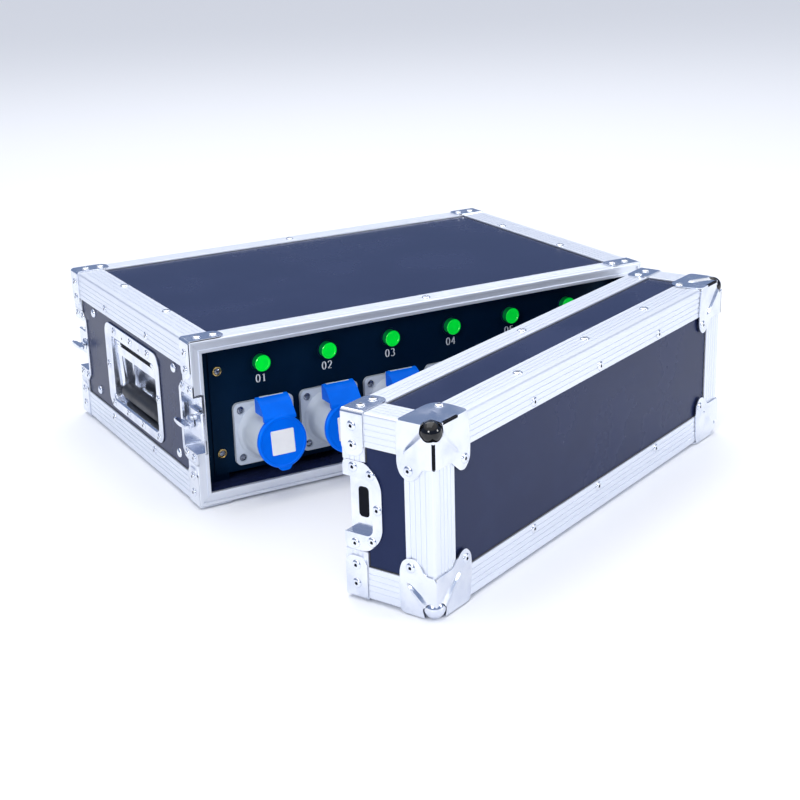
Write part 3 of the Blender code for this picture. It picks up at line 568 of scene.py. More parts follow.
def finish(name):
    """The named finish as a material, which is made once."""
    label = "finish_" + name
    made = bpy.data.materials.get(label)
    if made:
        return made
    facts = FINISHES[name]
    made = bpy.data.materials.new(label)
    made.use_nodes = True
    tree = made.node_tree
    shader = tree.nodes["Principled BSDF"]
    place = tree.nodes.new("ShaderNodeTexCoord").outputs["Object"]
    shader.inputs["Metallic"].default_value = facts.get("metallic", 0.0)
    shader.inputs["Specular IOR Level"].default_value = facts.get("specular", 0.5)
    shader.inputs["Specular Tint"].default_value = (*facts.get("tint", (1, 1, 1)), 1)
    if "stretch" in facts:
        mask = group_node(tree, "lines", place, "Lines", Stretch=facts["stretch"])
    else:
        mask = group_node(tree, "smudges", place, "Mask", Scale=facts["smudge"])
    colours = tree.nodes.new("ShaderNodeMix")
    colours.data_type = "RGBA"
    colours.inputs["A"].default_value = (*facts["colour"], 1)
    colours.inputs["B"].default_value = (*facts["patch"], 1)
    rough = tree.nodes.new("ShaderNodeMapRange")
    rough.inputs["To Min"].default_value, rough.inputs["To Max"].default_value = facts["rough"]
    wire(
        tree,
        (mask, colours.inputs["Factor"]),
        (colours.outputs["Result"], shader.inputs["Base Color"]),
        (mask, rough.inputs["Value"]),
        (rough.outputs["Result"], shader.inputs["Roughness"]),
    )
    height, strength = None, 0.0
    if "line_bump" in facts:
        height, strength = mask, facts["line_bump"]
    elif "pebble" in facts:
        height = group_node(tree, "pebble", place, "Height", Scale=facts["pebble"])
        strength = facts["pebble_bump"]
    if height:
        bump = tree.nodes.new("ShaderNodeBump")
        bump.inputs["Strength"].default_value = strength
        bump.inputs["Distance"].default_value = 0.001
        wire(tree, (height, bump.inputs["Height"]), (bump.outputs["Normal"], shader.inputs["Normal"]))
    if "glow" in facts:
        shader.inputs["Emission Color"].default_value = (*facts["glow"], 1)
        shader.inputs["Emission Strength"].default_value = facts["glow_strength"]
    return made


# Sizes that a user would change


def size(name, description, default):
    """A length property."""
    return FloatProperty(name=name, description=description, default=default, unit="LENGTH", precision=5)


def angle(name, description, default):
    """An angle property."""
    return FloatProperty(name=name, description=description, default=default, subtype="ANGLE")


class ExtrusionSizes(bpy.types.PropertyGroup):
    """Aluminium extrusions and their corner braces."""

    leg: size("Leg", "Width of an edge angle's leg", 0.030)
    flange: size("Flange", "Width of a rim's outer leg", 0.024)
    groove_depth: size("Groove depth", "Depth of the fine grooves", 0.00055)
    groove_width: size("Groove width", "Width of the fine grooves", 0.0011)
    corner: size("Corner", "Radius of an extrusion's outer corner", 0.0022)
    mitre_gap: size("Mitre gap", "Half of the gap where two bars meet", 0.00008)
    brace_leg: size("Brace leg", "Length of a corner brace's leg", 0.040)
    brace_width: size("Brace width", "Width of a corner brace", 0.023)
    brace_round: size("Brace round", "Corner radius of a brace's end", 0.0085)


class RivetSizes(bpy.types.PropertyGroup):
    """Rivets and bolts."""

    radius: size("Radius", "Radius of a rivet's head", 0.0046)
    height: size("Height", "Height of a rivet's head", 0.0014)
    hole: size("Hole", "Radius of the hole in a rivet's head", 0.0015)
    bolt_radius: size("Bolt radius", "Radius of a rail bolt's head", 0.0050)
    bolt_height: size("Bolt height", "Height of a rail bolt's head", 0.0026)


class HandleSizes(bpy.types.PropertyGroup):
    """Recessed handles."""

    width: size("Dish width", "Width of the dish", 0.160)
    height: size("Dish height", "Height of the dish", 0.098)
    radius: size("Dish radius", "Corner radius of the dish", 0.014)
    opening_width: size("Opening width", "Width of the recess", 0.132)
    opening_height: size("Opening height", "Height of the recess", 0.076)
    depth: size("Depth", "Depth of the recess", 0.026)
    top_band: size("Top band", "How much further down the recess starts at its top", 0.0045)
    bar: size("Bar radius", "Radius of the bail", 0.0034)
    grip: size("Grip radius", "Radius of the rubber grip", 0.009)


class LatchSizes(bpy.types.PropertyGroup):
    """Butterfly latches and their catches."""

    height: size("Height", "Height of a latch's dish", 0.082)
    reach: size("Reach", "Reach of a latch's dish from the rim", 0.036)
    pocket_height: size("Pocket height", "Height of the recess", 0.058)
    pocket_reach: size("Pocket reach", "Reach of the recess", 0.031)
    pocket_depth: size("Pocket depth", "Depth of the recess", 0.009)
    pivot: size("Pivot", "Distance of the wing's axis from the rim", 0.018)
    wing_half: size("Wing half", "Half of the wing's span", 0.016)
    wing_out: size("Wing out", "Height of the wing above the wall", 0.010)


class SocketSizes(bpy.types.PropertyGroup):
    """Socket outlets and lamps."""

    ways: IntProperty(name="Ways", description="Number of outlets", default=6, min=1)
    pitch: size("Pitch", "Distance between outlets", 0.0744)
    up: size("Height", "Height of the outlets' axis", 0.0585)
    lamp_up: size("Lamp height", "Height of the lamps' axis", 0.130)
    label: size("Label", "Side of the bare label on a lid", 0.025)
    screw_spacing: size("Screw spacing", "Distance between the flange's screws", 0.0515)
    digit_height: size("Digit height", "Height of a way's number", 0.0084)
    tilt: angle("Tilt", "Lean of a lid's face", math.radians(7))


class StageSettings(bpy.types.PropertyGroup):
    """Camera, floor and light."""

    lens: FloatProperty(name="Lens", description="Focal length in millimetres", default=70.28)
    place: FloatVectorProperty(
        name="Camera", description="Place of the camera", subtype="XYZ",
        default=(-0.7960, -1.3539, 0.6047),
    )
    yaw: angle("Yaw", "Turn towards +X", 0.5075)
    pitch: angle("Pitch", "Tilt down", 0.3336)
    roll: angle("Roll", "Turn about the view", -0.0281)
    floor: FloatVectorProperty(
        name="Floor", description="Colour of the floor", default=(0.93, 0.94, 0.97), subtype="COLOR"
    )
    world: FloatProperty(name="World", description="Strength of the surrounding light", default=1.0)


SETTINGS = (
    ("box_extrusion", ExtrusionSizes), ("box_rivet", RivetSizes), ("box_handle", HandleSizes),
    ("box_latch", LatchSizes), ("box_socket", SocketSizes), ("box_stage", StageSettings),
)

# Extrusions


def mitred_ring(section, y, outward, corner_gap):
    """Four bars round an open end, from a section of (in from the outside, along from the face)."""
    corners = [(0, 0), (1, 0), (1, 1), (0, 1)]
    bars = {"x": [], "z": []}
    for index, (right, up) in enumerate(corners):
        next_right, next_up = corners[(index + 1) % 4]
        ends = []
        for (a, b), sign in (((right, up), 1), ((next_right, next_up), -1)):
            ring = []
            for inward, along in section:
                x = (WIDE - inward if a else inward) + sign * corner_gap * (next_right - right)
                z = (TALL - inward if b else inward) + sign * corner_gap * (next_up - up)
                ring.append((x, y - outward * along, z))
            ends.append(ring)
        bars["x" if up == next_up else "z"].append(loft(ends))
    return bars


def leg_points(length, facts, first, count):
    """The grooved outer line of a leg, from its free edge at length to near the corner."""
    return grooved(length - 0.0003, first, count, facts.groove_depth, facts.groove_width)


def corner_arc(radius, steps=5):
    """The round outer corner between two legs, from the down leg to the along leg."""
    turns = [math.pi / 2 * step / steps for step in range(steps + 1)]
    return [(radius - radius * math.cos(turn), radius - radius * math.sin(turn)) for turn in turns]


def angle_section(facts):
    """An edge angle's section as (in, down) points: both legs grooved."""
    leg, soft = facts.leg, facts.corner
    level = leg_points(leg, facts, soft + 0.001, 4)
    down = [(depth, along) for along, depth in level]
    inner = [(leg, 0.0003), (leg, SKIN), (SKIN, SKIN), (SKIN, leg), (0.0003, leg)]
    return down + corner_arc(soft) + level[::-1] + inner


def rim_section(facts, tongue):
    """A rim's section as (in, along) points: grooved outer leg, web and inner leg."""
    soft = facts.corner / 2
    down = [(depth, along) for along, depth in leg_points(facts.flange, facts, soft + 0.002, 3)]
    face = RIM_FACE
    if tongue:
        web = [(0.0055, 0), (0.0056, -0.001), (0.0074, -0.001), (0.0075, 0)]
    else:
        web = [(0.0035, 0), (0.0037, 0.0015), (0.0093, 0.0015), (0.0095, 0)]
    inner = [
        (face - 0.0004, 0), (face, 0.0004), (face, facts.flange), (face - SKIN, facts.flange),
        (face - SKIN, 0.003), (SKIN, 0.003), (SKIN, facts.flange), (0.0003, facts.flange),
    ]
    return down + corner_arc(soft) + web + inner


def latch_gaps(outward, y):
    """The shapes cut from a rim's side bars for its latches or catches."""
    latch = bpy.context.scene.box_latch
    shapes = []
    for sign in (-1, 1):
        wall = WIDE if sign > 0 else 0
        for depth, half in ((INSET, latch.height / 2 + GAP), (0.0115, latch.pocket_height / 2 + INSET)):
            near, far = sorted((wall - sign * depth, wall + sign * SPARE))
            start, stop = sorted((y + outward * SPARE, y - outward * 0.030))
            shapes.append(box((near, start, MIDDLE - half), (far, stop, MIDDLE + half)))
    return shapes


def rim(name, body, y, outward, tongue, place):
    """An open end's channel, as four mitred bars."""
    facts = bpy.context.scene.box_extrusion
    bars = mitred_ring(rim_section(facts, tongue), y, outward, facts.mitre_gap)
    gaps = latch_gaps(outward, y)
    uprights = [cut(bar, *[gap.copy() for gap in gaps]) for bar in bars["z"]]
    # A near-black laminate lining on the inner face: painted shade
    start, stop = sorted((y - outward * 0.0035, y - outward * (facts.flange + 0.0010)))
    middle = across((1, 0, 0), (0, 0, 1), (WIDE / 2, 0, MIDDLE))
    painted_shade_lining = plate(band(WIDE - 2 * RIM_FACE, TALL - 2 * RIM_FACE, 0.0003), -stop, -start, middle)
    shapes = {"aluminium_x": bars["x"], "aluminium_z": uprights, "laminate": [painted_shade_lining]}
    piece(name, body, shapes, [name], place)


def edge_bar(start, stop, right, up):
    """An edge angle from start to stop along Y, on one of the four long edges."""
    facts = bpy.context.scene.box_extrusion
    rings = []
    for y in (start, stop):
        ring = []
        for inward, down in angle_section(facts):
            ring.append((WIDE - inward if right else inward, y, TALL - down if up else down))
        rings.append(ring)
    return loft(rings)


def strip(stations, thick, ease=0.00025):
    """A sheet strip through stations of (point, across, normal, half width)."""
    rings = []
    for point, side, normal, half in stations:
        section = [
            (-half, 0), (-half, thick - ease), (ease - half, thick),
            (half - ease, thick), (half, thick - ease), (half, 0),
        ]
        rings.append([Vector(point) + Vector(side) * a + Vector(normal) * b for a, b in section])
    return loft(rings)


def brace(y, right, up):
    """A strip bent round one corner of an open end."""
    facts = bpy.context.scene.box_extrusion
    half, long, round_off = facts.brace_width / 2, facts.brace_leg - SHEET, facts.brace_round
    bend_radius = facts.corner + 0.0002
    side = (0, 1, 0)
    out_x, out_z = (1 if right else -1), (1 if up else -1)
    corner = Vector((WIDE if right else 0, y, TALL if up else 0))
    leg = shifted(corner_arc(-round_off, 6), long, half) + [(bend_radius, half)]
    stations = []
    lift = GAP / 3
    for reach, width in leg:
        point = corner + Vector((out_x * lift, 0, -out_z * reach))
        stations.append((point, side, (out_x, 0, 0), width))
    centre = corner + Vector((-out_x * bend_radius, 0, -out_z * bend_radius))
    for step in range(1, 6):
        turn = math.pi / 2 * step / 6
        normal = Vector((out_x * math.cos(turn), 0, out_z * math.sin(turn)))
        stations.append((centre + normal * (bend_radius + lift), side, normal, half))
    for reach, width in reversed(leg):
        point = corner + Vector((-out_x * reach, 0, out_z * lift))
        stations.append((point, side, (0, 0, out_z), width))
    return strip(stations, SHEET)


def corner_places(y):
    """The four corners of an open end, with their names."""
    for height, up in (("top", True), ("bottom", False)):
        for hand, right in (("left", False), ("right", True)):
            yield f"{height}_{hand}", y, right, up


def rivet(point, normal, proud=0.0):
    """A domed rivet's head, with painted shadow at the end of its hole."""
    facts = bpy.context.scene.box_rivet
    radius, tall, hole = facts.radius, facts.height, facts.hole
    frame = looking(normal, Vector(point) + Vector(normal) * proud)
    dome = [(0.98, 0.25), (0.89, 0.60), (0.73, 0.88), (0.52, 1)]
    profile = [(radius * 0.9, -0.0004), (radius, 0.0)] + [(radius * a, tall * b) for a, b in dome]
    profile += [(hole * a, tall * b) for a, b in ((1.12, 0.98), (1, 0.82), (1, 0.15))]
    # The end of the hole is painted shadow
    end = [(hole * a, tall * b) for a, b in ((0.97, 0.1), (0.97, 0.3), (0.5, 0.42))]
    return turned(profile, frame, 24), turned(end, frame, 12)


def rivets(name, body, places, place=CASE):
    """Rivets at (point, normal, how far their seat is proud of that point), as one piece."""
    heads, ends = zip(*[rivet(*spot) for spot in places])
    # The holes' ends take the near-black painted shadow
    piece(name, body, {"steel": heads, "painted_shadow_black": ends}, place=place)


def wall_rivets(name, body, frame, sign, spots, place=CASE):
    """Rivets at (X, Y) spots of a frame on the left (-1) or right (1) wall."""
    rivets(name, body, [(frame @ Vector((x, y, 0)), (sign, 0, 0), 0) for x, y in spots], place)


def brace_rivets(y):
    """The places of the rivets through one open end's braces."""
    for _, level, right, up in corner_places(y):
        out_x, out_z = (1 if right else -1), (1 if up else -1)
        x, z = (WIDE if right else 0), (TALL if up else 0)
        for reach in (0.0128, 0.0300):
            yield (x, level, z - out_z * reach), (out_x, 0, 0), SHEET + GAP / 3
            yield (x - out_x * reach, level, z), (0, 0, out_z), SHEET + GAP / 3


def edge_rivets():
    """The places of the rivets along the case's edge angles."""
    down, inward = 0.0225, 0.0245
    for y in (0.120, 0.243):
        for right in (0, 1):
            for up in (0, 1):
                out_x, out_z = 2 * right - 1, 2 * up - 1
                yield (right * WIDE, y, up * TALL - out_z * down), (out_x, 0, 0), 0
                yield (right * WIDE - out_x * inward, y, up * TALL), (0, 0, out_z), 0


def lid_frame_rivets():
    """The places of the rivets along the lid's long edges."""
    down, back = 0.0240, 0.0170
    for x in (0.157, 0.277, 0.397):
        for up in (0, 1):
            out_z = 2 * up - 1
            yield (x, LID_FACE, up * TALL - out_z * down), (0, -1, 0), 0
            yield (x, LID_FACE + back, up * TALL), (0, 0, out_z), 0


def painted_shadow_line(wide, tall, frame):
    """A thin black line of painted shadow round the bare part of a board, on the frame's XY plane."""
    return plate(band(wide, tall, 0.0011), -0.0001, 0.0002, frame)


def painted_shadow_lines(facts):
    """Painted shadow lines where the boards meet the extrusions, left out where a latch or catch crosses
    them.
    """
    leg, flange = facts.leg, facts.flange
    half = bpy.context.scene.box_latch.height / 2

    def four(start, stop, ends):
        middle, found = (start + stop) / 2, []
        for up in (0, 1):
            frame = facing((0, 0, 2 * up - 1), (WIDE / 2, middle, TALL - INSET if up else INSET))
            found.append(painted_shadow_line(WIDE - 2 * leg, stop - start, frame))
        for right in (0, 1):
            frame = facing((2 * right - 1, 0, 0), (WIDE - INSET if right else INSET, middle, MIDDLE))
            gaps = []
            for y in ends:
                low, high = (-SPARE, y - 0.018, MIDDLE - half), (WIDE + SPARE, y + 0.018, MIDDLE + half)
                gaps.append(box(low, high))
            found.append(cut(painted_shadow_line(stop - start, TALL - 2 * leg, frame), *gaps))
        return found

    # These lines use the black rubber finish as painted shadow
    case = four(flange, DEEP - flange, (flange, DEEP - flange))
    piece("case_painted_shadow_lines", "case", {"rubber": case})
    frame = facing((0, -1, 0), (WIDE / 2, LID_FACE + INSET, MIDDLE))
    lid = [painted_shadow_line(WIDE - 2 * leg, TALL - 2 * leg, frame)]
    lid += four(LID_FACE + leg, LID_BACK - flange, [LID_BACK - flange])
    piece("lid_painted_shadow_lines", "lid", {"rubber": lid}, place=LID)


class BOX_OT_extrusions(bpy.types.Operator):
    """Makes the rims, edge angles, lid frame, corner braces and their rivets."""

    bl_idname = "box.extrusions"
    bl_label = "Extrusions"

    def execute(self, context):
        facts = context.scene.box_extrusion
        rim("front_rim", "case", 0, -1, False, CASE)
        rim("rear_rim", "case", DEEP, 1, False, CASE)
        rim("lid_rim", "lid", LID_BACK, 1, True, LID)
        start, stop = facts.flange + GAP, DEEP - facts.flange - GAP
        painted_shadow_lines(facts)
        for name, _, right, up in corner_places(0):
            node = name + "_edge_angle"
            bar = edge_bar(start, stop, right, up)
            piece(node, "case", {"aluminium_y": [bar]}, [node])
        bars = mitred_ring(angle_section(facts), LID_FACE, -1, facts.mitre_gap)
        turns = [lid_corner(right, up) for _, _, right, up in corner_places(0)]
        rooms = [moved(ball_room(BALL_RADIUS + 0.0004), turn) for turn in turns]
        for found in bars.values():
            found[:] = [cut(bar, *[room.copy() for room in rooms]) for bar in found]
        start, stop = LID_FACE + facts.leg + GAP, LID_BACK - facts.flange - GAP
        edges = [edge_bar(start, stop, right, up) for _, _, right, up in corner_places(0)]
        shapes = {"aluminium_x": bars["x"], "aluminium_z": bars["z"], "aluminium_y": edges}
        piece("lid_edge_frame", "lid", shapes, ["lid_edge_frame"], LID)
        middle = 0.0005 + facts.brace_width / 2
        ends = (
            ("front", middle, "case", CASE), ("rear", DEEP - middle, "case", CASE),
            ("lid", LID_BACK - middle, "lid", LID),
        )
        for end, y, body, place in ends:
            for name, level, right, up in corner_places(y):
                shapes = {"steel": [brace(level, right, up)]}
                piece(f"{end}_{name}_brace", body, shapes, place=place)
            rivets(f"{end}_brace_rivets", body, brace_rivets(y), place)
            spots = [((WIDE / 2, y, MIDDLE + side * MIDDLE), (0, 0, side), 0) for side in (-1, 1)]
            rivets(f"{end}_rim_rivets", body, spots, place)
        rivets("edge_angle_rivets", "case", edge_rivets())
        rivets("lid_frame_rivets", "lid", lid_frame_rivets(), LID)
        return {"FINISHED"}


# Boards


class BOX_OT_boards(bpy.types.Operator):
    """Dresses the laminated boards and makes the lowest one with its feet."""

    bl_idname = "box.boards"
    bl_label = "Boards"

    def execute(self, context):
        dressed("laminate", "top_panel", "left_side_panel", "right_side_panel", "lid_box")
        low = (INSET, 0.0033, INSET)
        high = (WIDE - INSET, DEEP - 0.0033, INSET + BOARD)
        board = eased(box(low, high), GAP)
        foot = [
            (0.0002, 0.0022), (0.0030, 0.0022), (0.0030, 0), (0.0085, 0), (0.0096, 0.0006),
            (0.0100, 0.0016), (0.0100, INSET + 0.003), (0.0002, INSET + 0.003),
        ]
        feet, inward = [], 0.055
        for x in (inward, WIDE - inward):
            for y in (inward, DEEP - inward):
                feet.append(turned(foot, Matrix.Translation((x, y, -LOW.z)), 32))
        shapes = {"laminate": [board], "rubber": feet}
        piece("bottom_panel", "case", shapes, ["bottom_panel"])
        return {"FINISHED"}


# Handles

# How far in the bail's hinge and grip lie from the wall
HINGE_IN = -0.009
GRIP_IN = -0.0125


def handle_dish(facts):
    """The pressed dish, in its wall's frame."""
    lowered = facts.top_band
    wide, tall, deep = facts.opening_width, facts.opening_height - lowered, facts.depth
    rings = []

    def ring(grow_x, grow_y, radius, height, drop=-lowered / 2):
        rings.append(shifted(rounded(wide + grow_x, tall + grow_y, radius, 8), 0, drop, height))

    border_x, border_y = facts.width - wide, facts.height - tall
    ring(border_x, border_y, facts.radius, -SHEET, 0)
    ring(border_x, border_y, facts.radius, -0.0004, 0)
    ring(border_x - 0.0008, border_y - 0.0008, facts.radius - 0.0004, 0, 0)
    shoulder = 0.0045
    for step in range(5):
        turn = math.pi / 2 * step / 4
        grow = 2 * shoulder * (1 - math.sin(turn))
        ring(grow, grow, 0.0065 + grow / 2, -shoulder * 0.55 * (1 - math.cos(turn)))
    foot = 0.004
    for step in range(5):
        turn = math.pi / 2 * step / 4
        shrink = -0.0030 - 2 * foot * (1 - math.cos(turn))
        ring(shrink, shrink, 0.0060, foot - deep - foot * math.sin(turn))
    return pressed(rings, SHEET)


def bail_places(facts):
    """Half of the bail's width, and the heights of its hinge and its grip in the wall's frame."""
    half = facts.opening_width / 2
    return half - 0.006, facts.opening_height / 2 - 0.009, 0.011 - facts.opening_height / 2


def bail_route(facts):
    """The bail's line from hinge to hinge, in the wall's frame."""
    half, top, low = bail_places(facts)
    route = []
    for side in (-1, 1):
        hinge = Vector((side * half, top, HINGE_IN))
        grip = Vector((side * half, low, GRIP_IN))
        half_route = [hinge, *bend(hinge, grip, (0, low, GRIP_IN), 0.009, 8)]
        route += half_route if side < 0 else half_route[::-1]
    return route


def bail_spring(side, top):
    """One of the two coil springs on the bail's hinge rod."""
    start, rise, radius, turns, steps = 0.0455, 0.0017, 0.0040, 6, 16
    points = []
    for step in range(turns * steps + 1):
        turn = 2 * math.pi * step / steps
        x = side * (start + rise * step / steps)
        points.append((x, top + radius * math.cos(turn), HINGE_IN + radius * math.sin(turn)))
    return tube(points, 0.0008, 8)


def bail_grip(facts):
    """The rubber grip, a little fuller at its middle and eased at its ends."""
    half, _, low = bail_places(facts)
    reach, rings = half - 0.006, 27
    profile = []
    for step in range(rings):
        along = -reach + 2 * reach * step / (rings - 1)
        end = min(1.0, (reach - abs(along)) / 0.003)
        swell = 0.0004 * math.cos(math.pi * along / reach / 2)
        profile.append((facts.grip - 0.0016 * (1 - end) ** 2 - 0.0005 + swell, along))
    return turned(profile, across((0, 1, 0), (0, 0, 1), (0, low, GRIP_IN)), 32)


def bail_shapes(facts):
    """The bail's shapes by finish, in its wall's frame. The shade darkens the slot above the apron."""
    half, top, _ = bail_places(facts)
    reach = facts.opening_width / 2 - 0.0009
    rod = tube([(-reach, top, HINGE_IN), (reach, top, HINGE_IN)], 0.0026)
    place = Matrix.Translation((0, top - 0.0080, HINGE_IN))
    apron = eased(plate([rounded(2 * half - 0.004, 0.0100, 0.002)], 0.0028, 0.0042, place), 0.0004)
    # A near-black box behind the slot above the apron: painted shadow
    shade = box((-0.0445, top - 0.0028, -0.0062), (0.0445, top + 0.0030, -0.0058))
    springs = [bail_spring(side, top) for side in (-1, 1)]
    steel = [tube(bail_route(facts), facts.bar), rod, apron, *springs]
    return {"steel": steel, "rubber": [bail_grip(facts)], "painted_shadow_black": [shade]}


def dish_shapes(facts):
    """The handle's dish with the bail's lugs, in its wall's frame."""
    top = bail_places(facts)[1]
    holes, lugs, half = [], [], 0.0016
    for x in (-0.0248, 0.0248):
        place = Matrix.Translation((x, 0.0405, 0))
        holes.append(turned([(0.0013, -SPARE), (0.0013, SPARE)], place, 16))
    for side in (-1, 1):
        x = side * (facts.opening_width / 2 - 0.0022)
        low, high = (x - half, top - 0.006, -0.016), (x + half, top + 0.0055, -0.0035)
        lugs.append(eased(box(low, high), 0.001))
    return {"steel": [cut(handle_dish(facts), *holes), *lugs]}


# Places of the rivets through a handle's dish, in its wall's frame
DISH_RIVETS = [(x, 0.0425) for x in (-0.0495, 0, 0.0495)]
DISH_RIVETS += [(x, -0.0435) for x in (-0.067, -0.0225, 0.0225, 0.067)]
DISH_RIVETS += [(-0.0735, 0), (0.0735, 0)]


class BOX_OT_handles(bpy.types.Operator):
    """Makes the recessed dishes and the sprung bails with their rubber grips."""

    bl_idname = "box.handles"
    bl_label = "Handles"

    def execute(self, context):
        facts = context.scene.box_handle
        for hand, sign in HANDS:
            frame = wall_frame(sign, DEEP / 2 - 0.004, MIDDLE)
            dish, bail = f"{hand}_handle_dish", f"{hand}_handle"
            piece(dish, "case", in_frame(dish_shapes(facts), frame), [dish])
            wall_rivets(f"{hand}_dish_rivets", "case", frame, sign, DISH_RIVETS)
            piece(bail, bail, in_frame(bail_shapes(facts), frame), [bail])
        return {"FINISHED"}


# Latches


def end_frame(sign, outward, y):
    """A frame on a side wall at an open end: X runs in from the rim, Y up and Z out of the wall."""
    point = (WIDE if sign > 0 else 0, y, MIDDLE)
    matrix = Matrix(((0, -outward, 0), (0, 0, 1), (sign, 0, 0))).transposed().to_4x4()
    return Matrix.Translation(point) @ matrix


def latch_dish(facts):
    """The latch's dish with its three-sided recess, in its end frame."""
    half, reach, chamfer = facts.height / 2, facts.reach, 0.009
    outline = [
        (0, -half), (reach - chamfer, -half), (reach, chamfer - half),
        (reach, half - chamfer), (reach - chamfer, half), (0, half),
    ]
    flange = plate([softened(outline, 0.002)], -SKIN, 0)
    tall, far, deep = facts.pocket_height / 2, facts.pocket_reach, facts.pocket_depth
    outside = box((0.0001, -tall - SHEET, -deep - SHEET), (far + SHEET, tall + SHEET, -0.0005))
    inside = plate([rounded(2 * far, 2 * tall, 0.004)], -deep, SPARE)
    return eased(cut(join(flange, outside), inside), 0.0005, 3)


def latch_hook(facts):
    """The hook plate that the wing draws in."""
    top, foot = -0.0045, 0.0003 - facts.pocket_depth
    under, back = top - 0.002, facts.pocket_reach - 0.0063
    out, claw = -0.007, -0.004
    outline = [
        (out, top - 0.0012), (out + 0.0012, top), (back, top), (back, foot), (back - 0.018, foot),
        (back - 0.018, under), (claw, under), (claw, foot), (out, foot),
    ]
    bar = plate([outline], -0.014, 0.014, across((1, 0, 0), (0, 0, 1)))
    slot = box((facts.pivot - 0.0088, -0.0028, -0.02), (facts.pivot + 0.0028, 0.0028, 0.01))
    return eased(cut(bar, slot), 0.0005, 3)


def latch_wing(facts):
    """The raised wing: a waisted blade on a round hub, with its cam pin."""
    half, out = facts.wing_half, facts.wing_out
    rings = []
    steps, lip = 24, 0.0011
    for step in range(steps + 1):
        t = -1 + 2 * step / steps
        x = half * t
        rise = 0.0008 + 0.0024 * min(1, abs(t) * 1.6)
        crown = out - 0.0012 * abs(t) ** 2
        thick = 0.0010 + 0.0005 * (1 - abs(t)) ** 2
        if abs(t) > 0.86:
            fade = (abs(t) - 0.86) / 0.14
            middle = (rise + crown) / 2
            keep = math.sqrt(max(0.02, 1 - fade * fade))
            rise, crown = middle + (rise - middle) * keep, middle + (crown - middle) * keep
        side = [
            (x, thick * 0.4, crown), (x, thick + lip * 0.7, crown - lip * 0.4), (x, thick, crown - lip),
            (x, thick, rise),
        ]
        rings.append([(x, -y, z) for x, y, z in side[::-1]] + side)
    blade = loft(rings)
    profile = [
        (0.0, -0.0042), (0.0065, -0.0042), (0.0065, -0.0012), (0.0058, -0.0004),
        (0.0030, 0.0006), (0.0, 0.0010),
    ]
    hub = turned(profile, sides=40)
    pin = turned([(0.0023, 0.0003 - facts.pocket_depth), (0.0023, -0.004)], sides=20)
    web = eased(box((-0.0042, -0.0016, -0.0006), (0.0042, 0.0016, 0.0030)), 0.0008, 3)
    place = Matrix.Translation((facts.pivot, 0, 0))
    return [moved(shape, place) for shape in (blade, hub, pin, web)]


def catch_dish(facts):
    """The lid's catch: a round-cornered dish with a slot for the hook."""
    half, reach = facts.height / 2, 0.040
    outline = [
        (0, -half), (reach - 0.016, -half), (reach - 0.004, 0.0112 - half), (reach, 0.0208 - half),
        (reach, half - 0.0208), (reach - 0.004, half - 0.0112), (reach - 0.016, half), (0, half),
    ]
    flange = plate([softened(outline, 0.006, 6)], -SKIN, 0)
    tall, far, deep = 0.026, 0.030, 0.010
    outside = box((0.0001, -tall - SHEET, -deep - SHEET), (far + SHEET, tall + SHEET, -0.0005))
    inside = plate([rounded(2 * far, 2 * tall, 0.007)], -deep, SPARE)
    slot = plate([shifted(rounded(0.011, 0.028, 0.0035), 0.0140, 0)], -deep - SPARE, 0.0005 - deep)
    return eased(cut(join(flange, outside), inside, slot), 0.0005, 3)


# Places of the rivets through a latch's dish and a catch, in their end's frame
LATCH_RIVETS = [(x, z) for x in (0.0085, 0.0262) for z in (-0.0350, 0.0350)]
CATCH_RIVETS = [(0.0110, 0.0350), (0.0290, 0.0305), (0.0352, 0), (0.0290, -0.0305), (0.0110, -0.0350)]


class BOX_OT_latches(bpy.types.Operator):
    """Makes the four latches and the lid's two catches."""

    bl_idname = "box.latches"
    bl_label = "Latches"

    def execute(self, context):
        facts = context.scene.box_latch
        parts = {"dish": [latch_dish(facts)], "hook": [latch_hook(facts)], "wing": latch_wing(facts)}
        # A near-black plate behind the catch's slot: painted shadow
        dark = box((0.0087, -0.0138, -0.0112), (0.0193, 0.0138, -0.0106))
        catch = {"steel": [catch_dish(facts)], "painted_shadow_black": [dark]}
        for hand, sign in HANDS:
            for end, outward, y in (("front", -1, 0), ("rear", 1, DEEP)):
                frame = end_frame(sign, outward, y)
                for part, shapes in parts.items():
                    node = f"{end}_{hand}_latch_{part}"
                    body = "case" if part == "dish" else node
                    piece(node, body, in_frame({"steel": shapes}, frame), [node])
                wall_rivets(f"{end}_{hand}_latch_rivets", "case", frame, sign, LATCH_RIVETS)
            frame = end_frame(sign, 1, LID_BACK)
            node = f"lid_{hand}_catch"
            piece(node, "lid", in_frame(catch, frame), [node], LID)
            wall_rivets(node + "_rivets", "lid", frame, sign, CATCH_RIVETS, LID)
        return {"FINISHED"}


# Ball corners


# A corner's three plates in millimetres from the corner: their outlines after the corner itself,
# and the places of their rivets and of their ribs' far ends
CORNER_OUTLINES = {
    "face": [(49, -1.5), (52, 30), (51, 42), (44, 49), (37, 48.5), (29, 42), (24, 37), (-1.5, 37)],
    "side": [(36, -1.5), (36, 38), (33, 46), (27, 50), (20, 50), (14, 44), (10, 37), (-1.5, 37)],
    "top": [(50, -1.5), (53, 18), (53, 28), (48, 34), (41, 36), (-1.5, 36)],
}
CORNER_RIVETS = {"face": (43.5, 39.5), "side": (24.5, 41.5), "top": (46.5, 25.5)}
CORNER_RIBS = {"face": (34, 31), "side": (29, 27), "top": (33, 22)}
MILLI = 0.001
BALL_IN = 0.0065
BALL_RADIUS = 0.0095


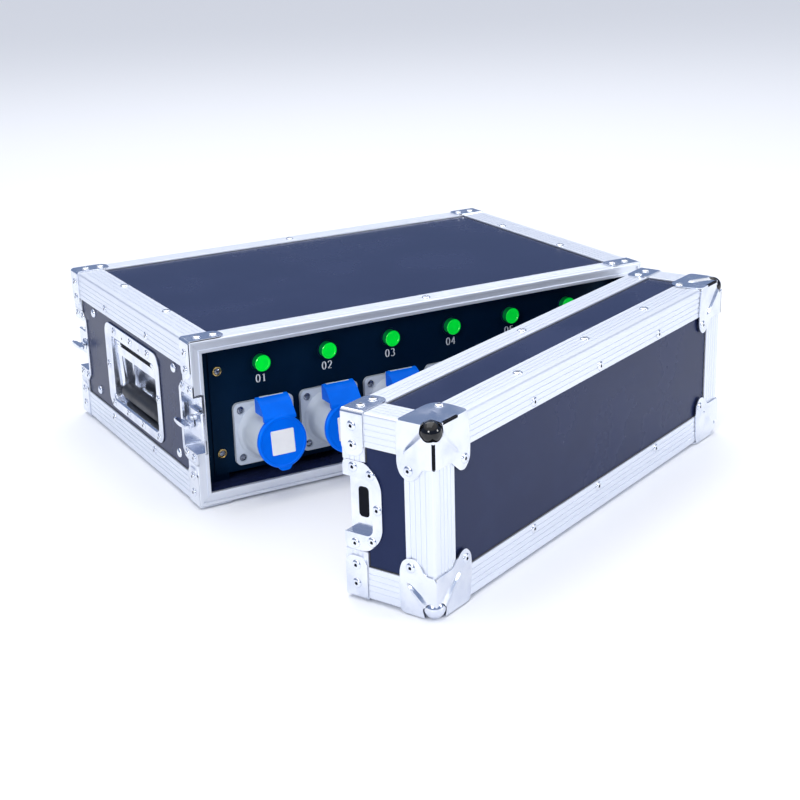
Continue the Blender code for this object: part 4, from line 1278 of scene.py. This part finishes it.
def lid_corner(right, up):
    """A frame at a far corner of the lid, whose axes run in from it along the lid's edges."""
    turn = Matrix.Diagonal((1 - 2 * right, 1, 1 - 2 * up, 1))
    return Matrix.Translation((WIDE * right, LID_FACE, TALL * up)) @ turn


def ball_room(radius):
    """A bar along a corner's diagonal, from the ball's middle outwards."""
    return turned([(radius, -0.001), (radius, 0.03)], looking((-1, -1, -1), [BALL_IN] * 3), 40)


def corner_rib(stop, base, frame):
    """A low round ridge pressed into a plate, from the ball towards stop."""
    start, stop = Vector((7, 7)) * MILLI, Vector(stop) * MILLI
    along = (stop - start).normalized()
    side = Vector((-along.y, along.x))
    rings = []
    for step in range(15):
        t = step / 14
        taper = math.sqrt(max(0.0, 1 - (max(0.0, t - 0.8) / 0.2) ** 2))
        half = (0.0056 - 0.0036 * t) * max(taper, 0.03)
        tall = 0.0015 * max(taper, 0.03)
        middle = start.lerp(stop, t)
        ring = [(*(middle + side * half * shift), base * 0.6) for shift in (-1, 1)]
        crest = ((1, 0), (0.5, 0.45), (0.12, 0.96), (0, 1), (-0.12, 0.96), (-0.5, 0.45), (-1, 0))
        for shift, lift in crest:
            ring.append((*(middle + side * half * shift), base + math.copysign(lift * tall, base)))
        rings.append(ring)
    return loft(rings, frame)


def corner_plates(slits):
    """A corner's steel, ball, slits' painted shadows and rivets' places, with its axes running inwards.
    """
    faces = {
        "face": (across((1, 0, 0), (0, 0, 1), (0, -GAP, 0)), SHEET),
        "side": (across((0, 1, 0), (0, 0, 1), (-GAP, 0, 0)), -SHEET),
        "top": (across((1, 0, 0), (0, 1, 0), (0, 0, -GAP)), -SHEET),
    }
    plates, ribs, ends = [], [], []
    for name, (frame, thick) in faces.items():
        loop = [(x * MILLI, y * MILLI) for x, y in ((-1.5, -1.5), *CORNER_OUTLINES[name])]
        keep_corner = [loop[0]] + softened(loop, 0.006, 5)[6:]
        plates.append(plate([keep_corner], *sorted((0, thick)), frame))
        ribs.append(corner_rib(CORNER_RIBS[name], thick, frame))
        x, y = CORNER_RIVETS[name]
        normal = frame.col[2].to_3d() * math.copysign(1, thick)
        ends.append((frame @ Vector((x * MILLI, y * MILLI, thick)), normal))
    shell = join(plates[0], *plates[1:])
    outside, wide = -GAP - SHEET, 0.0022
    cuts, slit_painted_shadows = [ball_room(0.0101)], []
    if slits:
        for axis, begin, stop in ((0, 0.0125, 0.034), (2, 0.0135, 0.0365)):
            low, high = [outside - 0.001] * 3, [outside + wide] * 3
            low[axis], high[axis] = begin, stop
            cuts.append(box(low, high))
            # A near-black box under each slit: painted shadow
            low = [outside + 0.0004 if side != axis else begin - 0.0002 for side in range(3)]
            high = [0.0002 if side != axis else stop + 0.0002 for side in range(3)]
            slit_painted_shadows.append(box(low, high))
    steel = [eased(cut(shell, *cuts), 0.00045, 3)]
    steel += [cut(rib, ball_room(0.0101)) for rib in ribs]
    turns = [math.pi * step / 28 for step in range(1, 28)]
    profile = [(BALL_RADIUS * math.sin(turn), BALL_RADIUS * math.cos(turn)) for turn in turns]
    ball = turned(profile, Matrix.Translation([BALL_IN] * 3))
    return steel, ball, slit_painted_shadows, ends


class BOX_OT_corners(bpy.types.Operator):
    """Makes the lid's four ball corners."""

    bl_idname = "box.corners"
    bl_label = "Ball corners"

    def execute(self, context):
        corners = {up: corner_plates(up) for up in (True, False)}
        for name, _, right, up in corner_places(0):
            steel, ball, slit_painted_shadows, ends = corners[up]
            # Top balls take a black gloss, a painted reflection of dark surroundings in their chrome;
            # bottom balls stay steel
            shapes = {"steel": steel, "ball_painted_dark_reflection": [ball], "painted_shadow_black": slit_painted_shadows}
            if not up:
                shapes = {"steel": [*steel, ball]}
            node, frame = f"lid_{name}_corner", lid_corner(right, up)
            piece(node, "lid", in_frame(shapes, frame), [node], LID)
            spots = [(frame @ spot, frame.to_3x3() @ normal, 0) for spot, normal in ends]
            rivets(node + "_rivets", "lid", spots, LID)
        return {"FINISHED"}


# Panels

# Half of the distance across a rack between its screws, and where a number lies from its lamp
RACK_HOLES = 0.23255
NUMBER_SIDE, NUMBER_OUT, NUMBER_DOWN = 0.0008, 0.00004, 0.0176


def way_x(way):
    """The sideways place of an outlet and its lamp."""
    facts = bpy.context.scene.box_socket
    return WIDE / 2 + (way - (facts.ways - 1) / 2) * facts.pitch


def cross_screw(frame, radius, tall, depth=0.0009):
    """A pan-head screw with a cross recess."""
    dome = [(1, 0.2), (0.9, 0.62), (0.62, 0.92), (0.3, 1), (0, 1)]
    profile = [(radius * 0.98, -0.0006)] + [(radius * a, tall * b) for a, b in dome]
    head = turned(profile, sides=28)
    arm, blade = radius * 0.62, radius * 0.15
    slots = []
    for x, y in ((arm, blade), (blade, arm)):
        slots.append(box((-x, -y, tall - depth), (x, y, tall + SPARE)))
    return moved(cut(head, *slots), frame)


def panel_screws(outward, panel_y):
    """The rack screws at a panel's corners, each in a cup washer, by finish."""
    cup = [
        (0.0030, 0.0), (0.0050, 0.0), (0.0050, 0.0004), (0.0047, 0.0012), (0.0039, 0.0017),
        (0.0033, 0.0011), (0.0030, 0.0005),
    ]
    screws, cups = [], []
    for x in (WIDE / 2 - RACK_HOLES, WIDE / 2 + RACK_HOLES):
        for z in (0.0409, 0.1279):
            frame = facing((0, outward, 0), (x, panel_y, z))
            cups.append(turned(cup, frame, 36))
            screws.append(cross_screw(frame @ Matrix.Translation((0, 0, 0.0004)), 0.0031, 0.0016))
    return {"screw_dark": screws, "screw_gold": cups}


def arc(x, y, wide, tall, start, stop):
    """Points along part of an ellipse, between two angles in degrees."""
    turns = [math.radians(start + (stop - start) * step / 16) for step in range(17)]
    return [(x + wide * math.cos(turn), y + tall * math.sin(turn)) for turn in turns]


# Pen strokes of the digits, in a box 1 wide and 1.5 high
DIGITS = {
    "0": [arc(0.5, 0.75, 0.36, 0.72, 0, 360)],
    "1": [[(0.28, 1.22), (0.5, 1.46), (0.5, 0.04)], [(0.28, 0.04), (0.72, 0.04)]],
    "2": [[*arc(0.5, 1.08, 0.33, 0.39, 165, -30), (0.16, 0.05)], [(0.14, 0.05), (0.86, 0.05)]],
    "3": [arc(0.46, 1.12, 0.30, 0.35, 145, -80), arc(0.46, 0.41, 0.36, 0.39, 85, -145)],
    "4": [[(0.66, 0.04), (0.66, 1.46)], [(0.66, 1.46), (0.12, 0.48)], [(0.12, 0.46), (0.92, 0.46)]],
    "5": [
        [(0.82, 1.43), (0.28, 1.43)], [(0.27, 1.43), (0.22, 0.82)],
        arc(0.46, 0.45, 0.36, 0.43, 125, -150),
    ],
    "6": [arc(0.52, 0.43, 0.33, 0.41, 0, 360), arc(0.98, 0.55, 0.79, 0.95, 110, 180)],
    "7": [[(0.14, 1.43), (0.88, 1.43)], [(0.88, 1.43), (0.40, 0.04)]],
    "8": [arc(0.5, 1.11, 0.28, 0.35, 0, 360), arc(0.5, 0.39, 0.35, 0.37, 0, 360)],
    "9": [arc(0.48, 1.07, 0.33, 0.41, 0, 360), arc(0.02, 0.95, 0.79, 0.95, -70, 0)],
}


def number_mesh(text, frame, height):
    """A number in broad-nibbed strokes, a hair proud of its panel."""
    scale, thin, broad, thick = height / 1.5, height * 0.022, height * 0.055, 0.00008
    shapes = []
    for place, digit in enumerate(text):
        shift = Vector((1.18 * (place + 0.5 - len(text) / 2) - 0.5, -0.75))
        for stroke in DIGITS[digit]:
            points = [(Vector(point) + shift) * scale for point in stroke]
            whole = (points[0] - points[-1]).length < 1e-6
            if whole:
                points = points[:-1]
            rings = []
            for index, point in enumerate(points):
                before = points[index - 1] if index or whole else point
                after = points[(index + 1) % len(points)] if index + 1 < len(points) or whole else point
                along = (after - before).normalized()
                side = Vector((-along.y, along.x))
                side *= thin + broad * abs(side.x)
                left, right = point - side, point + side
                rings.append([(*left, 0), (*right, 0), (*right, thick), (*left, thick)])
            shapes.append(loft(rings, frame, whole))
    return shapes


def leaned(mesh, lean, length):
    """A copy of a mesh whose front face leans: lower points come further out."""
    copy = mesh.copy()
    for vertex in copy.vertices:
        share = max(0.0, min(1.0, vertex.co.z / length))
        vertex.co.z -= vertex.co.y * lean * share**3
    return copy


def connector_contacts(kind, top):
    """A connector's contacts, and the holes for those of an outlet, with its insert's face at top."""
    contacts, holes = [], []
    for degrees in kind["pins"]:
        turn = math.radians(degrees)
        place = Matrix.Translation((CONTACT_RING * math.cos(turn), CONTACT_RING * math.sin(turn), 0))
        if kind["male"]:
            pin = [(0.0024, top - 0.004), (0.0024, top + 0.006), (0.0012, top + 0.008)]
            contacts.append(turned(pin, place, 20))
        else:
            low, high = top - 0.012, top - 0.001
            sleeve = [(0.0024, low), (0.0031, low), (0.0031, high), (0.0024, high)]
            holes.append(turned([(0.0033, low), (0.0033, top + SPARE)], place, 20))
            contacts.append(turned(sleeve, place, 20))
    return contacts, holes


def connector_body(kind, facts):
    """A panel connector's body by finish, with its face towards Z and its panel at nought."""
    flange, collar, bore, length = kind["flange"], kind["collar"], kind["bore"], kind["length"]
    outline = rounded(flange, flange, kind["corner"], 8)
    base = eased(plate([outline, circle(bore + GAP + 0.0001)], GAP, 0.0046), 0.0009, 4)
    spacing = facts.screw_spacing / 2 * flange / 0.067
    screws, recesses = [], []
    for x in (-spacing, spacing):
        for y in (-spacing, spacing):
            place = Matrix.Translation((x, y, 0))
            recesses.append(turned([(0.0044, 0.0030), (0.0044, SPARE * 2)], place, 28))
            screws.append(cross_screw(Matrix.Translation((x, y, 0.0030)), 0.0038, 0.0016, 0.0008))
    foot = 0.0026
    wall = [
        (bore, foot), (bore, length), (collar - 0.0008, length), (collar, length - 0.0008),
        (collar + 0.0006, 0.012), (collar + 0.0024, 0.0075), (collar + 0.0050, 0.0056),
        (collar + 0.0056, 0.0044), (collar + 0.0056, foot),
    ]
    sleeve = leaned(turned(wall, sides=64), math.tan(facts.tilt), length)
    top, core = length - 0.010, bore - 0.004
    insert = turned([(0, foot), (core, foot), (core, top - 0.0005), (core - 0.001, top), (0, top)])
    contacts, holes = connector_contacts(kind, top)
    if holes:
        insert = cut(insert, *holes)
    up = kind["hinge"]
    knuckle = box((-0.0058, up - 0.0060, 0.0042), (0.0058, up + 0.0025, HINGE_OUT + 0.0028))
    pin = tube([(-0.0100, up, HINGE_OUT), (0.0100, up, HINGE_OUT)], 0.0016)
    back = turned([(kind["back"], -kind["depth"]), (kind["back"], foot)], sides=40)
    return {
        "socket_grey": [cut(base, *recesses), sleeve, eased(knuckle, 0.0012, 3), back],
        "socket_inner": [insert],
        "brass": contacts,
        "screw_dark": screws,
        "steel": [pin],
    }


def connector_lid(kind, facts):
    """A connector's hinged lid by finish: disc, pull tab, hood, arms to the hinge and bare label."""
    length, disc = kind["length"] + 0.0006, kind["collar"] + 0.0020
    front = length + 0.0052
    profile = [
        (0, length), (disc - 0.0012, length), (disc, length + 0.0010), (disc, front - 0.0014),
        (disc - 0.0008, front - 0.0004), (disc - 0.0020, front), (disc - 0.0030, front),
        (disc - 0.0034, front - 0.0005), (0, front - 0.0005),
    ]
    face = turned(profile, sides=72)
    half = [(0.0050, -disc - 0.0026), (0.0085, 0.003 - disc)]
    outline = softened([(-x, y) for x, y in half[::-1]] + half, 0.004, 6)
    tab = plate([outline], length + 0.0008, front - 0.0006)
    up, inner, outer, skin = kind["hinge"], 0.0130, 0.0172, 0.0022
    low = math.sqrt((kind["collar"] + 0.0040) ** 2 - inner**2) + 0.0012
    back, top = 0.0222, up + 0.0090
    outline = [
        (low, back), (top - 0.0015, back), (top, back + 0.0015), (top - 0.0002, back + 0.0040),
        (top - 0.0018, back + 0.0085), (top - 0.0052, back + 0.0145), (disc - 0.0012, front - 0.0006),
        (low - 0.005, front - 0.0006), (low - 0.005, length + 0.0002), (low, length),
    ]
    hollow = [
        (low - 0.010, -SPARE), (top - skin, -SPARE), (top - skin, back + 0.0040),
        (top - skin - 0.0018, back + 0.0085), (top - skin - 0.0052, back + 0.0138),
        (disc - 0.0012, length - 0.0006), (low - 0.010, length - 0.0006),
    ]
    section = across((0, 1, 0), (0, 0, 1))
    hood = plate([softened(outline, 0.0012, 3)], -outer, outer, section)
    notch = box((-inner, top - 0.0040, back - SPARE), (inner, top + SPARE, back + 0.0042))
    hood = eased(cut(hood, plate([hollow], -inner, inner, section), notch), 0.0007, 3)
    reach = inner + 0.001
    bar = tube([(-reach, top - 0.0024, back + 0.0020), (reach, top - 0.0024, back + 0.0020)], 0.0021)
    outline = [
        (up - 0.0036, HINGE_OUT - 0.0026), (up + 0.0026, HINGE_OUT - 0.0030),
        (top - 0.0006, back + 0.0020), (top - 0.0048, back + 0.0036),
    ]
    bore = tube([(-outer, up, HINGE_OUT), (outer, up, HINGE_OUT)], 0.0019)
    arms = []
    for x in (-0.0078, 0.0078):
        arm = plate([softened(outline, 0.0022, 5)], x - 0.0016, x + 0.0016, section)
        arms.append(cut(arm, bore.copy()))
    label = rounded(facts.label, facts.label * 0.98, 0.0012, 4)
    pad = eased(plate([label], front - 0.0006, front - 0.0002), 0.0001)
    shapes = {
        "socket_blue": [face, eased(tab, 0.0006, 3), hood],
        "label_paper": [pad],
        "socket_grey": [bar, *arms],
    }
    lean = math.tan(facts.tilt)
    return {look: [leaned(shape, lean, length) for shape in parts] for look, parts in shapes.items()}


# How far out of a connector's panel its lid's hinge lies, and its ring of contacts
HINGE_OUT = 0.009
CONTACT_RING = 0.0105

# Each connector: its lid hinge's height, its flange and corner, its collar's and bore's radii, its
# length, the radius and depth of its back, and its contacts' angles
OUTLET = dict(
    hinge=0.0338, flange=0.066, corner=0.0060, collar=0.0245, bore=0.0205, length=0.0415, back=0.022,
    depth=0.032, pins=(90, 210, 330), male=False,
)
INLET = dict(
    hinge=0.0393, flange=0.078, corner=0.0085, collar=0.0300, bore=0.0260, length=0.042, back=0.027,
    depth=0.034, pins=(54, 126, 198, 270, 342), male=True,
)


def lamp_shapes():
    """A panel lamp by finish: lens with a raised front, its side painted darker as shade, and a black
    bezel.
    """
    lens = [(0.0, 0.0086), (0.0062, 0.0086), (0.0066, 0.0090), (0.0078, 0.0090), (0.0084, 0.0085)]
    side = [(0.0084, 0.0085), (0.0086, 0.0080), (0.0086, 0.0021), (0.0080, 0.0019)]
    bezel = [(0.0075, GAP), (0.0100, GAP), (0.0100, 0.0014), (0.0094, 0.0020), (0.0080, 0.0020)]
    thread = [(0.0075, 0.0010), (0.0075, -0.016), (0.0, -0.016)]
    return {
        "lamp_green": [turned(lens)],
        # The lens's side: painted shade
        "lamp_side_painted_shade": [turned(side)],
        "panel_black": [turned(bezel), turned(thread)],
    }


class BOX_OT_front(bpy.types.Operator):
    """Makes the front panel's outlets, lids, lamps, screws and numbers."""

    bl_idname = "box.front"
    bl_label = "Front panel"

    def execute(self, context):
        facts = context.scene.box_socket
        panel_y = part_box("front_panel")[0].y - LOW.y
        dressed("panel_black", "front_panel")
        piece("front_rack_screws", "case", panel_screws(-1, panel_y))
        lamp_parts, numbers, out = lamp_shapes(), [], (0, -1, 0)
        body_parts, lid_parts = connector_body(OUTLET, facts), connector_lid(OUTLET, facts)
        for way in range(facts.ways):
            number, x = way + 1, way_x(way)
            frame = facing(out, (x, panel_y, facts.lamp_up))
            lamp, socket, lid = f"lamp_{number}", f"socket_{number}", f"socket_lid_{number}"
            piece(lamp, "case", in_frame(lamp_parts, frame), [lamp])
            place = facing(out, (x + NUMBER_SIDE, panel_y - NUMBER_OUT, facts.lamp_up - NUMBER_DOWN))
            numbers += number_mesh(f"{number:02d}", place, facts.digit_height)
            frame = facing(out, (x, panel_y, facts.up))
            piece(socket, "case", in_frame(body_parts, frame), [socket])
            piece(lid, lid, in_frame(lid_parts, frame), [lid])
        piece("way_numbers", "case", {"number_paint": numbers})
        return {"FINISHED"}


class BOX_OT_rear(bpy.types.Operator):
    """Makes the rear panel's inlet and breaker, and dresses the wiring."""

    bl_idname = "box.rear"
    bl_label = "Rear panel and wiring"

    def execute(self, context):
        facts = context.scene.box_socket
        panel_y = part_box("rear_panel")[1].y - LOW.y
        dressed("panel_black", "rear_panel")
        dressed("wiring_black", "terminal_strip_and_wiring")
        dressed("breaker_grey", "main_breaker")
        dressed("breaker_black", "main_breaker_toggle")
        piece("rear_rack_screws", "case", panel_screws(1, panel_y))
        side, down = 0.100, 0.008
        frame = facing((0, 1, 0), (WIDE / 2 + side, panel_y, MIDDLE - down))
        body, lid = "supply_inlet", "supply_inlet_lid"
        piece(body, "case", in_frame(connector_body(INLET, facts), frame), [body])
        piece(lid, lid, in_frame(connector_lid(INLET, facts), frame), [lid])
        radius, tall = context.scene.box_rivet.bolt_radius, context.scene.box_rivet.bolt_height
        flat, steps = 0.0004, 8
        dome = [(radius, -GAP), (radius, flat)]
        for step in range(1, steps + 1):
            turn = math.pi / 2 * step / steps
            dome.append((radius * math.cos(turn), flat + tall * math.sin(turn)))
        bolts = []
        for sign in (-1, 1):
            for y in (0.050, 0.288):
                for z in (0.042, 0.132):
                    x = WIDE - INSET if sign > 0 else INSET
                    bolts.append(turned(dome, looking((sign, 0, 0), (x, y, z)), 28))
        piece("rail_bolts", "case", {"steel": bolts})
        return {"FINISHED"}


# Stage


def soft_light(name, place, target, width, height, power, colour=(1, 1, 1)):
    """A rectangular soft light that looks at a point."""
    lamp = bpy.data.lights.new(name, "AREA")
    lamp.shape = "RECTANGLE"
    lamp.size, lamp.size_y = width, height
    lamp.energy = power
    lamp.color = colour
    made = bpy.data.objects.new(name, lamp)
    bpy.context.scene.collection.objects.link(made)
    made.location = place
    made.rotation_euler = (Vector(target) - Vector(place)).to_track_quat("-Z", "Y").to_euler()


def studio_world(strength):
    """Surroundings that are dim near the horizon and bright overhead."""
    world = bpy.data.worlds.new("studio")
    world.use_nodes = True
    tree = world.node_tree
    direction = tree.nodes.new("ShaderNodeTexCoord")
    parts = tree.nodes.new("ShaderNodeSeparateXYZ")
    ramp = tree.nodes.new("ShaderNodeValToRGB")
    wire(
        tree,
        (direction.outputs["Generated"], parts.inputs[0]),
        (parts.outputs["Z"], ramp.inputs["Fac"]),
        (ramp.outputs["Color"], tree.nodes["Background"].inputs["Color"]),
    )
    stops = ramp.color_ramp.elements
    stops[0].position, stops[0].color = 0.44, (0.20, 0.27, 0.44, 1)
    stops[1].position, stops[1].color = 0.72, (1.0, 1.0, 1.0, 1)
    tree.nodes["Background"].inputs["Strength"].default_value = strength
    return world


class BOX_OT_stage(bpy.types.Operator):
    """Makes the floor, the lights and the camera."""

    bl_idname = "box.stage"
    bl_label = "Stage"

    def execute(self, context):
        facts = context.scene.box_stage
        yaw, pitch, roll = facts.yaw, facts.pitch, facts.roll
        level_share = math.cos(pitch)
        ahead = Vector((math.sin(yaw) * level_share, math.cos(yaw) * level_share, -math.sin(pitch)))
        level = Vector((math.cos(yaw), -math.sin(yaw), 0))
        upright = level.cross(ahead)
        right = math.cos(roll) * level + math.sin(roll) * upright
        up = math.cos(roll) * upright - math.sin(roll) * level
        camera = bpy.data.cameras.new("camera")
        camera.lens = facts.lens
        camera.sensor_width = 36.0
        viewer = bpy.data.objects.new("camera", camera)
        context.scene.collection.objects.link(viewer)
        turn = Matrix((right, up, -ahead)).transposed().to_4x4()
        viewer.matrix_world = Matrix.Translation(Vector(facts.place)) @ turn
        context.scene.camera = viewer

        reach = 12.0
        floor_mesh = box((-reach, -reach, -0.02), (reach, reach, 0))
        look = bpy.data.materials.new("floor")
        look.use_nodes = True
        shader = look.node_tree.nodes["Principled BSDF"]
        shader.inputs["Base Color"].default_value = (*facts.floor, 1)
        shader.inputs["Roughness"].default_value = 0.55
        floor_mesh.materials.append(look)
        floor = bpy.data.objects.new("floor", floor_mesh)
        context.scene.collection.objects.link(floor)

        context.scene.world = studio_world(facts.world)
        middle = (0.0, 0.0, 0.08)
        soft_light("overhead", (-0.2, 0.2, 2.4), middle, 2.6, 2.0, 24)
        soft_light("back", (0.9, 2.2, 2.4), middle, 3.0, 1.0, 18)
        soft_light("front_left", (-2.0, -1.6, 1.2), middle, 0.6, 0.6, 22)
        soft_light("front_right", (1.6, -2.0, 1.0), middle, 0.6, 0.7, 18)
        context.scene.view_settings.view_transform = "Standard"
        return {"FINISHED"}


OPERATORS = (
    BOX_OT_stage, BOX_OT_boards, BOX_OT_extrusions, BOX_OT_handles, BOX_OT_latches, BOX_OT_corners,
    BOX_OT_front, BOX_OT_rear,
)


class BOX_PT_panel(bpy.types.Panel):
    """Lists the pieces that can be made."""

    bl_idname = "BOX_PT_panel"
    bl_label = "Power distribution box"
    bl_space_type = "VIEW_3D"
    bl_region_type = "UI"
    bl_category = "Power Box"

    def draw(self, context):
        for operator in OPERATORS:
            self.layout.operator(operator.bl_idname)


def register():
    """Registers the settings, the operators and the panel."""
    for label, group in SETTINGS:
        bpy.utils.register_class(group)
        setattr(bpy.types.Scene, label, PointerProperty(type=group))
    for operator in OPERATORS:
        bpy.utils.register_class(operator)
    bpy.utils.register_class(BOX_PT_panel)


def unregister():
    """Takes everything that register adds away again."""
    bpy.utils.unregister_class(BOX_PT_panel)
    for operator in reversed(OPERATORS):
        bpy.utils.unregister_class(operator)
    for label, group in reversed(SETTINGS):
        delattr(bpy.types.Scene, label)
        bpy.utils.unregister_class(group)


def main():
    """Makes every piece in order."""
    register()
    for operator in OPERATORS:
        getattr(bpy.ops.box, operator.bl_idname.split(".")[1])()


if __name__ == "__main__":
    main()
